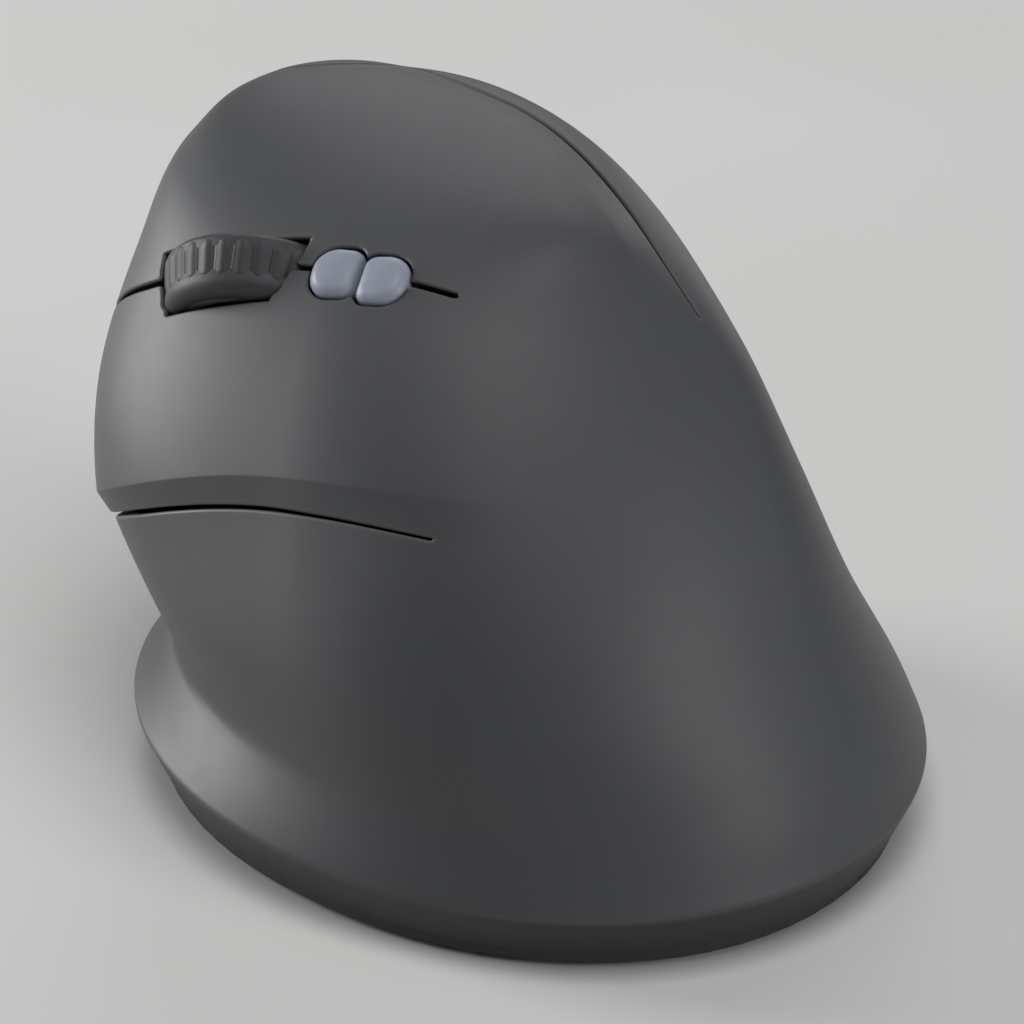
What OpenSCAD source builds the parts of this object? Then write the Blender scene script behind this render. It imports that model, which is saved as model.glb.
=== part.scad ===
// Vertical ergonomic mouse for the left hand, wireless.
// +Y is the front, -X the finger side, +X the thumb side, +Z up; z = 0 is the desk.
// The outer surface is lofted through oval sections from the base lip to the crown.

/* [Body] */
// Length from the nose to the rear of the base lip
body_length = 105; // [98:1:114]
// Width over the base lip
body_width = 84; // [80:1:92]
// Height of the crown above the desk
body_height = 71.2; // [69:0.2:76]
// Height of the base lip above the desk
lip_height = 8; // [7:0.5:9]
// How far the skirt under the lip draws in
skirt_inset = 3.4; // [2.4:0.2:4]
// Wall of the moulded covers
cover_wall = 2; // [1.6:0.1:2.3]
// Gap along the seam between the covers
seam_gap = 0.4; // [0.35:0.05:0.6]
// Depth of the finger rest under the crease
scoop_depth = 4.2; // [3:0.2:5]
// Highest point of the crease along the lower button
crease_top = 49.4; // [47:0.2:51]
// Radius of the crease seen from the side
crease_radius = 69; // [64:1:80]

/* [Buttons] */
// Slot between the upper and the lower button
slot_gap = 0.65; // [0.55:0.05:0.9]
// Gap under the lower button at its front end
under_gap = 1; // [0.9:0.05:1.3]
// Band of the lower button under the crease
crease_band = 3.7; // [3:0.1:4.4]
// Distance from the wheel back to the flex line of the buttons
flex_distance = 29.5; // [28:0.5:31]
// Split at the flex line
flex_gap = 0.3; // [0.25:0.05:0.4]

/* [Scroll wheel] */
// Radius over the ribbed tread
wheel_radius = 11.5; // [10.8:0.1:11.8]
// Width of the tread
wheel_width = 7.4; // [6.6:0.1:7.8]
// Growth of the tread's radius for each millimetre uphill
wheel_taper = 0.22; // [0.1:0.02:0.26]
// How far the wheel stands out of the face
wheel_rise = 3.4; // [2.8:0.1:3.8]
// Diameter of the axle
axle_d = 2.4; // [2:0.1:2.8]
// Radial clearance of the axle and the trunnions
bearing_clearance = 0.05; // [0.03:0.01:0.08]
// Ribs round the tread
rib_count = 32; // [24:1:40]
// Depth of the grooves between the ribs
rib_depth = 0.6; // [0.4:0.1:0.8]

/* [Keys] */
// Length of each key behind the wheel, along the slot
key_length = 5.9; // [5.4:0.1:6]
// Width of each key behind the wheel
key_width = 6.6; // [6:0.1:7.2]
// Length of each thumb key
thumb_key_length = 17; // [15:0.5:18]
// Height of each thumb key
thumb_key_width = 6.4; // [5.6:0.2:7]
// How far the keys stand proud
key_rise = 0.9; // [0.7:0.1:1.2]
// Travel of every key
key_travel = 0.6; // [0.4:0.05:0.7]
// Gap round every key
key_gap = 0.3; // [0.25:0.05:0.4]

/* [Base] */
// Height of the glide feet under the base
foot_height = 0.8; // [0.6:0.1:1]
// Height of the seam between the covers and the base
base_seam = 2; // [1.9:0.1:2.3]
// Top of the base floor
floor_top = 3; // [2.9:0.1:3.4]
// Diameter of the cell
cell_d = 14.5; // [14:0.1:14.6]
// Length of the cell with its nub
cell_length = 50.5; // [49.5:0.1:50.8]
// Diameter of the screws
screw_d = 2.5; // [2.2:0.1:2.8]
// Thickness of the circuit boards
board_thickness = 1.6; // [1.2:0.1:1.8]

/* [Hidden] */
$fn = 40;

COVER = "#3b3d3f";
BUTTON = "#45474a";
RUBBER = "#2a2b2d";
KEY = "#9aa0b4";
FRAME = "#1f2123";
BOARD = "#1d5a3a";
SWITCH = "#161719";
METAL = "#b9bcc0";

// Sections from the lip to the crown, drawn 84 wide and 105 long: share of the rise, axis x and y,
// front, rear, finger side, thumb side, squareness in front and behind
DRAWN_WIDTH = 84;
DRAWN_LENGTH = 105;
SECTIONS = [
    [0.000, -1, -2, 45.0, -52.5, -42.0, 42.0, 2.0, 2.05],
    [0.127, 1, -2, 46.5, -49.5, -39.0, 37.5, 2.1, 2.1],
    [0.316, 3, 0, 50.5, -43.0, -38.0, 31.0, 2.5, 2.2],
    [0.538, 7, 4, 52.3, -34.5, -33.5, 26.5, 2.8, 2.2],
    [0.744, 11, 9, 52.2, -24.0, -25.5, 23.5, 2.8, 2.2],
    [0.894, 9.5, 13, 50.7, -12.8, -15.5, 24.1, 2.8, 2.1],
    [0.9745, 6.5, 21.8, 43.8, -2.9, -2.5, 23.4, 2.17, 2.0],
    [1.000, 15.5, 18.1, 18.1, 18.1, 15.5, 15.5, 2.0, 2.0]];
LAST = len(SECTIONS) - 1;
width_share = body_width / DRAWN_WIDTH;
length_share = body_length / DRAWN_LENGTH;

// The crease is an arc in side view; the finger rest below it fades out towards the rear and the top
crease_y = -12;
scoop_rear = -26;
scoop_front = 34;
scoop_side = 12;
// The rest falls straight from the crease to its deepest line, then rises to the lip, with a little rounding
rest_low = 0.8;
rest_round = 0.1;

// The cover seam in plan: from the thumb side at the rear along the ridge, then in towards the nose
seam_rear_x = 12;
seam_ridge_x = 20;
seam_nose_x = 10;
seam_turn = 20;
seam_low_x = 34;
seam_low_y = -34;
seam_bend_y = -18;
seam_nose_start = 36;
nose_depth = 4.5;
far = 90;

// Rows of the loft: shares of the way from the lip to the crease, then 1 to 2 up to the crown
BELOW = [0, 0.1, 1 - rest_low, 0.3, 0.45, 0.6, 0.75, 0.875];
BAND = [for (j = [4:7]) j / 8];
ABOVE = [for (j = [0:12]) 1 + j / 13];
TIP = 1.96;
OUTER_COLUMNS = 48;
INNER_COLUMNS = 36;
INNER_ROWS = [0, 0.2, 0.4, 0.6, 0.8, 1, 1.2, 1.4, 1.6, 1.8, TIP];

// Places on the surface, each a section number and an angle from the thumb side
wheel_place = [4.542, 166.3];
aim_place = [5.019, 180];
front_key_place = [5.024, 182];
rear_key_place = [5.107, 196.2];
key_middle = [5.065, 188.9];
upper_press_place = [5.269, 157.4];
lower_press_place = [3.737, 170];
forward_key_place = [3.445, 15];
back_key_place = [3.44, 357.5];
thumb_board_place = [3.44, 6.3];

function clamp(x) = min(1, max(0, x));
function smooth(a, b, x) = let (u = clamp((x - a) / (b - a))) u * u * (3 - 2 * u);
function unit(v) = v / norm(v);
function mean(points) = [for (p = points) 1] * points / len(points);
function spline(a, b, c, d, u) =
    (2 * b + u * (c - a) + u * u * (2 * a - 5 * b + 4 * c - d) + u * u * u * (3 * b - a - 3 * c + d)) / 2;

// A section stretched to the set width, length and height
function stretched(r) = [lip_height + r[0] * (body_height - lip_height),
    r[1] * width_share, r[2] * length_share, r[3] * length_share, r[4] * length_share,
    r[5] * width_share, r[6] * width_share, r[7], r[8]];
rows = [for (r = SECTIONS) stretched(r)];
crown = rows[LAST];
shoulder = rows[LAST - 1];
// The row past the crown mirrors the shoulder, so that the dome closes smoothly
beyond = [shoulder[0], shoulder[1], shoulder[2], for (k = [3:6]) 2 * crown[k] - shoulder[k],
    shoulder[7], shoulder[8]];
padded = concat([2 * rows[0] - rows[1]], rows, [beyond]);

function section(t) = let (i = min(floor(t), LAST - 1))
    spline(padded[i], padded[i + 1], padded[i + 2], padded[i + 3], t - i);

function oval(r, a) = let (c = cos(a), s = sin(a),
        half_x = c > 0 ? r[6] - r[1] : r[1] - r[5],
        half_y = s > 0 ? r[3] - r[2] : r[2] - r[4],
        square = 2 / (s > 0 ? r[7] : r[8]))
    [r[1] + sign(c) * half_x * pow(abs(c), square), r[2] + sign(s) * half_y * pow(abs(s), square), r[0]];

function crease_height(y) = crease_top - pow(y - crease_y, 2) / (2 * crease_radius);

function scoop(p) = let (edge = crease_height(p.y), u = clamp((edge - p.z) / (edge - lip_height)),
        fall = u / rest_low, rise = (1 - u) / (1 - rest_low))
    scoop_depth * max(0, (fall + rise - sqrt(pow(fall - rise, 2) + pow(rest_round, 2))) / 2)
        * smooth(scoop_rear, scoop_front, p.y) * smooth(scoop_side, -scoop_side, p.x);

// A point moved level by d towards the axis of section r
function drawn_in(p, r, d) = let (v = [r[1] - p.x, r[2] - p.y, 0], l = norm(v)) l < 0.01 ? p : p + v * d / l;

function skin(t, a) = let (r = section(t), p = oval(r, a)) drawn_in(p, r, scoop(p));

function normal(t, a) = let (across = skin(t, a + 1) - skin(t, a - 1),
        up = skin(min(t + 0.03, LAST - 0.01), a) - skin(max(t - 0.03, 0), a))
    unit(cross(across, up));

function skirt(a, z, inset) = let (p = skin(0, a),
        d = inset + skirt_inset * (lip_height - z) / (lip_height - foot_height), q = drawn_in(p, rows[0], d))
    [q.x, q.y, z];

// The section number at which the column at angle a meets the crease, by halving
function crease_at(a, low = 0, high = LAST, steps = 12) = let (t = (low + high) / 2, p = oval(section(t), a))
    steps == 0 ? t
    : p.z < crease_height(p.y) ? crease_at(a, t, high, steps - 1) : crease_at(a, low, t, steps - 1);

function column(a, levels, inset, skirt_z) = let (k = crease_at(a)) concat(
    is_undef(skirt_z) ? [] : [skirt(a, skirt_z, inset)],
    [for (v = levels) let (t = v < 1 ? v * k : k + (v - 1) * (LAST - k))
        inset == 0 ? skin(t, a) : skin(t, a) - inset * normal(t, a)]);

// A closed solid through columns of points, with a fan at each end
module loft(columns, top) {
    n = len(columns);
    m = len(columns[0]);
    points = concat([for (c = columns) each c], [mean([for (c = columns) c[0]]), top]);
    faces = [for (i = [0:n - 1]) let (h = i * m, k = ((i + 1) % n) * m) each concat(
        [[n * m, h, k], [n * m + 1, k + m - 1, h + m - 1]],
        [for (j = [0:m - 2]) each [[h + j, h + j + 1, k + j + 1], [h + j, k + j + 1, k + j]]])];
    polyhedron(points, faces);
}

module body_solid(inset, count, levels, skirt_z) {
    columns = [for (i = [0:count - 1]) column(360 * i / count, levels, inset, skirt_z)];
    closed = levels[len(levels) - 1] == TIP;
    top = closed ? [crown[1], crown[2], crown[0] - inset] : mean([for (c = columns) c[len(c) - 1]]);
    loft(columns, top);
}

module cover_shell() {
    difference() {
        body_solid(0, OUTER_COLUMNS, concat(BELOW, ABOVE, [TIP]), base_seam);
        body_solid(cover_wall, INNER_COLUMNS, INNER_ROWS, base_seam - 1);
    }
}

// The cover seam in plan, moved by d towards the thumb side
nose_y = body_length / 2 - nose_depth;
function seam_x(y) = width_share * (seam_rear_x
    + (seam_ridge_x - seam_rear_x) * smooth(-seam_turn, seam_turn, y / length_share)
    + (seam_low_x - seam_rear_x) * smooth(seam_bend_y, seam_low_y, y / length_share)
    - (seam_ridge_x - seam_nose_x) * smooth(seam_nose_start * length_share, nose_y, y));
seam_steps = 36;
function seam_line(d) = [for (k = [0:seam_steps]) let (y = -far + k * (nose_y + d + far) / seam_steps)
    [seam_x(y) + d, y]];

module finger_side() {
    linear_extrude(far)
        polygon(concat(seam_line(-seam_gap / 2), [[-far, nose_y - seam_gap / 2], [-far, -far]]));
}

module thumb_side() {
    linear_extrude(far)
        polygon(concat(seam_line(seam_gap / 2),
            [[-far, nose_y + seam_gap / 2], [-far, far], [far, far], [far, -far]]));
}

// The sloping face: origin on the surface at the wheel, x back along the slot, y uphill, z outwards
face_origin = skin(wheel_place[0], wheel_place[1]);
face_out = normal(wheel_place[0], wheel_place[1]);
aim = skin(aim_place[0], aim_place[1]) - face_origin;
face_back = unit(aim - (aim * face_out) * face_out);
face_up = cross(face_out, face_back);
function on_face_of(p) = let (d = p - face_origin) [d * face_back, d * face_up, d * face_out];
function from_face(q) = face_origin + q.x * face_back + q.y * face_up + q.z * face_out;

module framed(x, y, z, o) {
    multmatrix([[x.x, y.x, z.x, o.x], [x.y, y.y, z.y, o.y], [x.z, y.z, z.z, o.z]]) children();
}

module on_face() {
    framed(face_back, face_up, face_out, face_origin) children();
}

// A frame on the surface at a place, z along out and x as near as can be to along
module at_place(place, out, along) {
    x = unit(along - (along * out) * out);
    framed(x, cross(out, x), out, skin(place[0], place[1])) children();
}

// The two keys behind the wheel move along one axis, and the two thumb keys along another
REARWARD = [0, -1, 0];
key_out = normal(key_middle[0], key_middle[1]);
thumb_out = normal(thumb_board_place[0], thumb_board_place[1]);

// A rectangle with corners of radius r, or of radii r and s at its +x and -x ends
function round_rect(l, w, r, s) = [for (q = [0:3], k = [0:4])
    let (a = 90 * q + 22.5 * k, right = q == 0 || q == 3, c = right || is_undef(s) ? r : s)
    [(right ? 1 : -1) * (l / 2 - c) + c * cos(a), (q < 2 ? 1 : -1) * (w / 2 - c) + c * sin(a)]];

module slab(l, w, r, low, high, s) {
    translate([0, 0, low]) linear_extrude(high - low) polygon(round_rect(l, w, r, s));
}

module block(size, at) {
    translate([at.x - size.x / 2, at.y - size.y / 2, at.z]) cube(size);
}

// The slot between the buttons, a long arc on the face
slot_peak = -2;
slot_top = 1;
slot_radius = 128;
slot_start = -42;
slot_step = 7;
slot_lift = 4;
lift_start = -8;
lift_end = -30;
function slot_line(d) = [for (k = [0:12])
    let (x = slot_start + slot_step * k, lift = slot_lift * smooth(lift_start, lift_end, x))
    [x, slot_top - pow(x - slot_peak, 2) / (2 * slot_radius) + lift + d]];
cut_depth = 40;

module above_slot() {
    on_face() translate([0, 0, -cut_depth]) linear_extrude(2 * cut_depth)
        polygon(concat(slot_line(slot_gap / 2), [[far, far], [-far, far]]));
}

module below_slot() {
    on_face() translate([0, 0, -cut_depth]) linear_extrude(2 * cut_depth)
        polygon(concat(slot_line(-slot_gap / 2), [[far, -far], [-far, -far]]));
}

// Everything in front of the flex line, moved back by d, down to a depth under the face
button_depth = 27;

module before_flex(d, deep) {
    on_face() translate([-far, -far, -deep]) cube([far + flex_distance + d, 2 * far, 2 * far]);
}

// Everything above the gap under the lower button, whose lower side falls away towards the front
gap_start = -34;
gap_step = 6;
gap_narrow = -20;
function gap_width(y) = flex_gap + (under_gap - flex_gap) * smooth(gap_narrow, nose_y, y);
function gap_line(wide) = [for (k = [0:16]) let (y = gap_start + gap_step * k)
    [y, crease_height(y) - crease_band - wide * gap_width(y)]];

module above_gap(wide) {
    translate([-far, 0, 0]) rotate([90, 0, 90]) linear_extrude(2 * far)
        polygon(concat([[-far, gap_line(wide)[0].y]], gap_line(wide), [[far, 0], [far, far], [-far, far]]));
}

// Openings for the wheel and for the keys
wheel_gap = 0.6;
wheel_offset = 0.4;
wheel_depth = wheel_radius - wheel_rise;
key_end = 2.9;
key_meeting = 1.5;
thumb_key_corner = 2.8;
window_top = 3;
window_low = 2 * cover_wall + 2;

module wheel_window() {
    half = wheel_width / 2 + wheel_gap;
    at_wheel() cylinder(r1 = wheel_radius - wheel_taper * half + wheel_gap,
        r2 = wheel_radius + wheel_taper * half + wheel_gap, h = 2 * half, center = true, $fn = 96);
}

module key_window(place, out, along, l, w, r, s) {
    at_place(place, out, along)
        slab(l + 2 * key_gap, w + 2 * key_gap, r + key_gap, -window_low, window_top, s + key_gap);
}

module face_windows() {
    wheel_window();
    key_window(front_key_place, key_out, face_back, key_length, key_width, key_meeting, key_end);
    key_window(rear_key_place, key_out, face_back, key_length, key_width, key_end, key_meeting);
}

// Levels inside, measured inwards from the face
board_depth = 15;
board_top = board_thickness - board_depth;
frame_plate = 2;
switch_size = [12.8, 5.8, 6.5];
plunger_size = [2.4, 1.4, 0.7];
plunger_gap = 0.1;
plunger_sink = 0.7;
plunger_well = 1.5;
press_post_d = 3;
press_clearance = 0.1;
tact_size = [3.6, 3.6, 3.5];
tact_button = [2.2, 0.8];
tact_back = 0.9;
switch_top = board_top + switch_size.z;
plunger_top = switch_top + plunger_size.z;
lower_press = on_face_of(skin(lower_press_place[0], lower_press_place[1]));

// A post from the wall of a button down to its switch
module press_post(press) {
    low = plunger_top + press_clearance;
    on_face() translate([press.x, press.y, low])
        cylinder(d = press_post_d, h = press.z - cover_wall / 2 - low);
}

module upper_button() {
    color(BUTTON) difference() {
        union() {
            intersection() {
                difference() {
                    body_solid(0, OUTER_COLUMNS, concat(ABOVE, [TIP]));
                    body_solid(cover_wall, INNER_COLUMNS, [0.9, 1.2, 1.4, 1.6, 1.8, TIP]);
                }
                finger_side();
                before_flex(0, button_depth);
                above_slot();
            }
            press_post(upper_press);
        }
        face_windows();
    }
}

module lower_button() {
    color(BUTTON) difference() {
        union() {
            intersection() {
                difference() {
                    body_solid(0, OUTER_COLUMNS, concat(BAND, [for (j = [0:9]) ABOVE[j]]));
                    body_solid(cover_wall, INNER_COLUMNS, [0.4, 0.7, 0.85, 1, 1.2, 1.4, 1.6, 1.8]);
                }
                finger_side();
                before_flex(0, button_depth);
                below_slot();
                above_gap(0);
            }
            press_post(lower_press);
        }
        face_windows();
    }
}

// Screw posts stand inside the skirt, at these angles
FINGER_POSTS = [155, 210];
THUMB_POSTS = [48, 345];
post_d = 7;
post_top = 12;
post_gap = 0.3;
post_inset = skirt_inset + post_d / 2;
pilot_clearance = 0.05;
head_d = 1.85 * screw_d;
head_h = 0.9;
head_seat = base_seam - 0.2;
screw_length = 7;
pilot_depth = screw_length + 1.5;
screw_room = 0.4;
function post_at(a) = skirt(a, lip_height, post_inset);

module screw_post(p) {
    translate([p.x, p.y, floor_top]) difference() {
        cylinder(d = post_d, h = post_top - floor_top);
        translate([0, 0, -1]) cylinder(d = screw_d + 2 * pilot_clearance, h = pilot_depth);
    }
}

module finger_cover() {
    color(COVER) union() {
        difference() {
            intersection() {
                cover_shell();
                finger_side();
            }
            intersection() {
                before_flex(flex_gap, button_depth + under_gap);
                above_gap(1);
            }
            face_windows();
        }
        for (a = FINGER_POSTS) screw_post(post_at(a));
    }
}

// Board behind the thumb keys, on two posts of the thumb cover
thumb_board_depth = 9;
thumb_board_size = [34, 20];
thumb_board_corner = 2;
thumb_post_d = 5;
thumb_post_y = 7;

module thumb_cover() {
    color(COVER) union() {
        difference() {
            intersection() {
                cover_shell();
                thumb_side();
            }
            thumb_windows();
        }
        for (a = THUMB_POSTS) screw_post(post_at(a));
        at_place(thumb_board_place, thumb_out, REARWARD)
            for (y = [-thumb_post_y, thumb_post_y]) translate([0, y, -thumb_board_depth])
                cylinder(d = thumb_post_d, h = thumb_board_depth - cover_wall / 2);
    }
}

module thumb_windows() {
    for (place = [forward_key_place, back_key_place])
        key_window(place, thumb_out, REARWARD, thumb_key_length, thumb_key_width,
            thumb_key_corner, thumb_key_corner);
}

// A domed key cap with a stem that ends at reach under the surface
key_skirt = 3.6;
stem_d = 2.6;

module key_cap(place, out, along, l, w, r, s, dome, reach) {
    at_place(place, out, along) {
        intersection() {
            slab(l, w, r, -key_skirt, window_top, s);
            translate([0, 0, key_rise - dome]) sphere(r = dome, $fn = 96);
        }
        translate([0, 0, -reach]) cylinder(d = stem_d, h = reach - key_skirt / 2);
    }
}

// How far in from a place a stem along out reaches a level over a plane at o with normal z
function stem_reach(place, out, o, z, level) = ((skin(place[0], place[1]) - o) * z - level) / (out * z);
key_dome = 9;
thumb_key_dome = 60;
stem_clearance = 0.4;
stem_room = key_travel + stem_clearance;
key_level = board_top + tact_size.z + stem_room;
thumb_level = tact_size.z + stem_room - thumb_board_depth;
thumb_origin = skin(thumb_board_place[0], thumb_board_place[1]);
function key_reach(place) = stem_reach(place, key_out, face_origin, face_out, key_level);
function thumb_reach(place) = stem_reach(place, thumb_out, thumb_origin, thumb_out, thumb_level);

module small_key(place, rear_end, front_end) {
    color(KEY) key_cap(place, key_out, face_back, key_length, key_width, rear_end, front_end,
        key_dome, key_reach(place));
}

module thumb_key(place) {
    color(COVER) key_cap(place, thumb_out, REARWARD, thumb_key_length, thumb_key_width,
        thumb_key_corner, thumb_key_corner, thumb_key_dome, thumb_reach(place));
}

module front_key() {
    small_key(front_key_place, key_meeting, key_end);
}

module rear_key() {
    small_key(rear_key_place, key_end, key_meeting);
}

module forward_key() {
    thumb_key(forward_key_place);
}

module back_key() {
    thumb_key(back_key_place);
}

// A dome switch of the given height
module tact(height) {
    block([tact_size.x, tact_size.y, height - tact_button[1]], [0, 0, 0]);
    cylinder(d = tact_button[0], h = height);
}

// Where the foot of a small key's stem lands on the face; its switch sits a little further back
function key_spot(place) = on_face_of(skin(place[0], place[1]) - (key_reach(place) + stem_room) * key_out);

module key_switches() {
    color(SWITCH) on_face() for (place = [front_key_place, rear_key_place])
        translate([key_spot(place).x + tact_back, key_spot(place).y, board_top]) tact(tact_size.z);
}

module thumb_board() {
    color(BOARD) at_place(thumb_board_place, thumb_out, REARWARD)
        slab(thumb_board_size.x, thumb_board_size.y, thumb_board_corner,
            -thumb_board_depth - board_thickness, -thumb_board_depth);
}

// A thumb key's place in the frame of the thumb board
function thumb_spot(place) = let (x = unit(REARWARD - (REARWARD * thumb_out) * thumb_out),
        d = skin(place[0], place[1]) - thumb_origin)
    [d * x, d * cross(thumb_out, x)];

module thumb_switches() {
    color(SWITCH) at_place(thumb_board_place, thumb_out, REARWARD)
        for (place = [forward_key_place, back_key_place])
            translate([thumb_spot(place).x, thumb_spot(place).y, -thumb_board_depth]) tact(tact_size.z);
}

// Scroll wheel on its axle, uphill along the face
hub_radius = wheel_radius - 2.6;
hub_floor = 2;
hub_wall = 1.4;
hub_step = 0.2;
web_half = 1.5;
boss_radius = 4.4;
boss_wall = 1.4;
axle_short = 0.6;
carrier_wall = 1.6;
carrier_gap = 0.6;
carrier_inner = wheel_width / 2 + carrier_gap;
carrier_outer = carrier_inner + carrier_wall;
encoder_size = [7, 2.6, 7];

// The upper switch stands uphill of the encoder, and its post meets the button above it
encoder_room = 0.1;
upper_wall = on_face_of(skin(upper_press_place[0], upper_press_place[1]));
upper_press_y = wheel_offset + carrier_outer + encoder_size.y + encoder_room + switch_size.y / 2;
upper_press = [upper_wall.x, upper_press_y, upper_wall.z];
tread_round = 1.8;

module at_wheel() {
    on_face() translate([0, wheel_offset, -wheel_depth]) rotate([-90, 0, 0]) children();
}

module wheel_hub() {
    half = wheel_width / 2;
    rim = half - hub_step;
    side = [[boss_radius - boss_wall, web_half], [boss_radius - boss_wall, half], [boss_radius, half],
        [boss_radius, hub_floor], [hub_radius - hub_wall, hub_floor], [hub_radius - hub_wall, rim],
        [hub_radius, rim]];
    color(FRAME) at_wheel() {
        rotate_extrude($fn = 96) polygon(concat([[0, web_half]], side,
            [for (k = [len(side) - 1:-1:0]) [side[k].x, -side[k].y]], [[0, -web_half]]));
        translate([0, 0, -carrier_outer])
            cylinder(d = axle_d, h = 2 * carrier_outer + encoder_size.y - axle_short);
    }
}

// Tyre with a tapered tread, round shoulders and a row of short pockets that leave ribs between them
pocket_length = 4.6;
pocket_radius = 0.9;

module wheel_tyre() {
    half = wheel_width / 2;
    shoulder_y = half - tread_round;
    function shoulder_x(side) = wheel_radius - tread_round + side * wheel_taper * shoulder_y;
    color(RUBBER) at_wheel() difference() {
        rotate_extrude($fn = 96) polygon(concat([[hub_radius, -half]],
            [for (side = [-1, 1]) for (a = [min(0, 90 * side):15:max(0, 90 * side)])
                [shoulder_x(side) + tread_round * cos(a), side * shoulder_y + tread_round * sin(a)]],
            [[hub_radius, half]]));
        for (k = [0:rib_count - 1]) rotate(360 * k / rib_count)
            translate([wheel_radius - rib_depth + pocket_radius, 0, 0]) rotate([0, atan(wheel_taper), 0])
                cylinder(r = pocket_radius, h = pocket_length, center = true, $fn = 16);
    }
}

// The carrier is a yoke that tips on two trunnions behind the wheel; its front bar meets the click switch
trunnion_d = 2;
trunnion_at = [10, -11];
trunnion_length = 2.4;
trunnion_root = 0.1;
bar_at = -14.6;
bar_low = -9.6;
bar_size = [2, 1.8];
cheek_low = -13;
cheek_front = -9;
cheek_round = 1.8;
axle_cover = [4, 2.6];

module at_carrier() {
    on_face() translate([0, wheel_offset, 0]) children();
}

module cheek() {
    difference() {
        rotate([90, 0, 0]) translate([0, 0, -carrier_wall / 2]) linear_extrude(carrier_wall)
            polygon([[bar_at - bar_size.x / 2, bar_low + bar_size.y], [bar_at - bar_size.x / 2, bar_low],
                [cheek_front, cheek_low], [trunnion_at.x + cheek_round, cheek_low],
                [trunnion_at.x + cheek_round, trunnion_at.y + cheek_round],
                [axle_cover.x, axle_cover.y - wheel_depth], [-axle_cover.x, axle_cover.y - wheel_depth]]);
        translate([0, 0, -wheel_depth]) rotate([90, 0, 0])
            cylinder(d = axle_d + 2 * bearing_clearance, h = far, center = true);
    }
}

module wheel_carrier() {
    color(FRAME) at_carrier() {
        for (side = [-1, 1]) {
            translate([0, side * (carrier_inner + carrier_outer) / 2, 0]) cheek();
            translate([trunnion_at.x, side * (carrier_outer - trunnion_root), trunnion_at.y])
                rotate([-90 * side, 0, 0]) cylinder(d = trunnion_d, h = trunnion_length + trunnion_root);
        }
        block([bar_size.x, 2 * carrier_outer, bar_size.y], [bar_at, 0, bar_low]);
    }
}

module scroll_encoder() {
    color(SWITCH) at_carrier() difference() {
        block([encoder_size.x, encoder_size.y, encoder_size.z],
            [0, carrier_outer + encoder_size.y / 2, -wheel_depth - encoder_size.z / 2]);
        translate([0, 0, -wheel_depth]) rotate([-90, 0, 0])
            cylinder(d = axle_d + 2 * bearing_clearance, h = far);
    }
}

click_angle = 2;
click_clearance = 0.1;
click_gap = (trunnion_at.x - bar_at) * sin(click_angle) + click_clearance;

module wheel_switch() {
    color(SWITCH) at_carrier() translate([bar_at, 0, board_top]) tact(bar_low - click_gap - board_top);
}

// Sloping deck for the button board, on four legs that stand on the base
deck_back = 22;
deck_front = -12;
deck_half = 18 * width_share;
deck_corner = 2.5;
deck_rear_corner = 7;
tab_front = -18;
tab_half = 7;
wheel_well = 11.9;
well_half = carrier_outer + 3.2;
lug_size = [3.6, 2];
lug_over = 1.9;
lug_gap = 0.3;
leg_width = 6.4;
leg_corner = 1;
plate_middle = -board_depth - frame_plate / 2;
leg_wall_low = 22;
leg_wall_thickness = 1.6;
LEGS = [[-3, -14], [18, -14], [3, 12], [18, 10]];

module deck_outline() {
    translate([(deck_back + deck_front) / 2, 0])
        polygon(round_rect(deck_back - deck_front, 2 * deck_half, deck_rear_corner, deck_corner));
    translate([(deck_front + tab_front) / 2 + deck_corner, 0])
        polygon(round_rect(deck_front - tab_front + 2 * deck_corner, 2 * tab_half, deck_corner));
}

module wheel_opening(half) {
    translate([0, wheel_offset, -far]) linear_extrude(2 * far)
        polygon(round_rect(2 * wheel_well, 2 * half, leg_corner));
}

function leg_at(q) = from_face([q.x, q.y, -board_depth - frame_plate]);

module leg(q) {
    p = leg_at(q);
    translate([p.x, p.y, floor_top]) linear_extrude(p.z)
        polygon(round_rect(leg_width, leg_width, leg_corner));
}

module leg_wall(q, r) {
    p = leg_at(q);
    v = leg_at(r) - p;
    translate([p.x, p.y, leg_wall_low]) rotate([0, 0, atan2(v.y, v.x)])
        translate([0, -leg_wall_thickness / 2, 0]) cube([norm([v.x, v.y]), leg_wall_thickness, far]);
}

module switch_frame() {
    color(FRAME) difference() {
        union() {
            on_face() difference() {
                translate([0, 0, -board_depth - frame_plate]) linear_extrude(frame_plate) deck_outline();
                wheel_opening(carrier_inner + 0.2);
            }
            difference() {
                union() {
                    for (q = LEGS) leg(q);
                    leg_wall(LEGS[0], LEGS[1]);
                    leg_wall(LEGS[2], LEGS[3]);
                }
                on_face() translate([-far, -far, plate_middle]) cube(2 * far);
            }
            at_carrier() for (side = [-1, 1])
                block([lug_size.x, lug_size.y, trunnion_at.y + lug_over - plate_middle],
                    [trunnion_at.x, side * (carrier_outer + lug_gap + lug_size.y / 2), plate_middle]);
        }
        at_carrier() translate([trunnion_at.x, 0, trunnion_at.y]) rotate([90, 0, 0])
            cylinder(d = trunnion_d + 2 * bearing_clearance, h = far, center = true);
        for (q = LEGS) translate([leg_at(q).x, leg_at(q).y, floor_top - 1])
            cylinder(d = screw_d + 2 * pilot_clearance, h = pilot_depth);
    }
}

module button_board() {
    color(BOARD) on_face() difference() {
        translate([0, 0, -board_depth]) linear_extrude(board_thickness) deck_outline();
        wheel_opening(well_half);
    }
}

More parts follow.
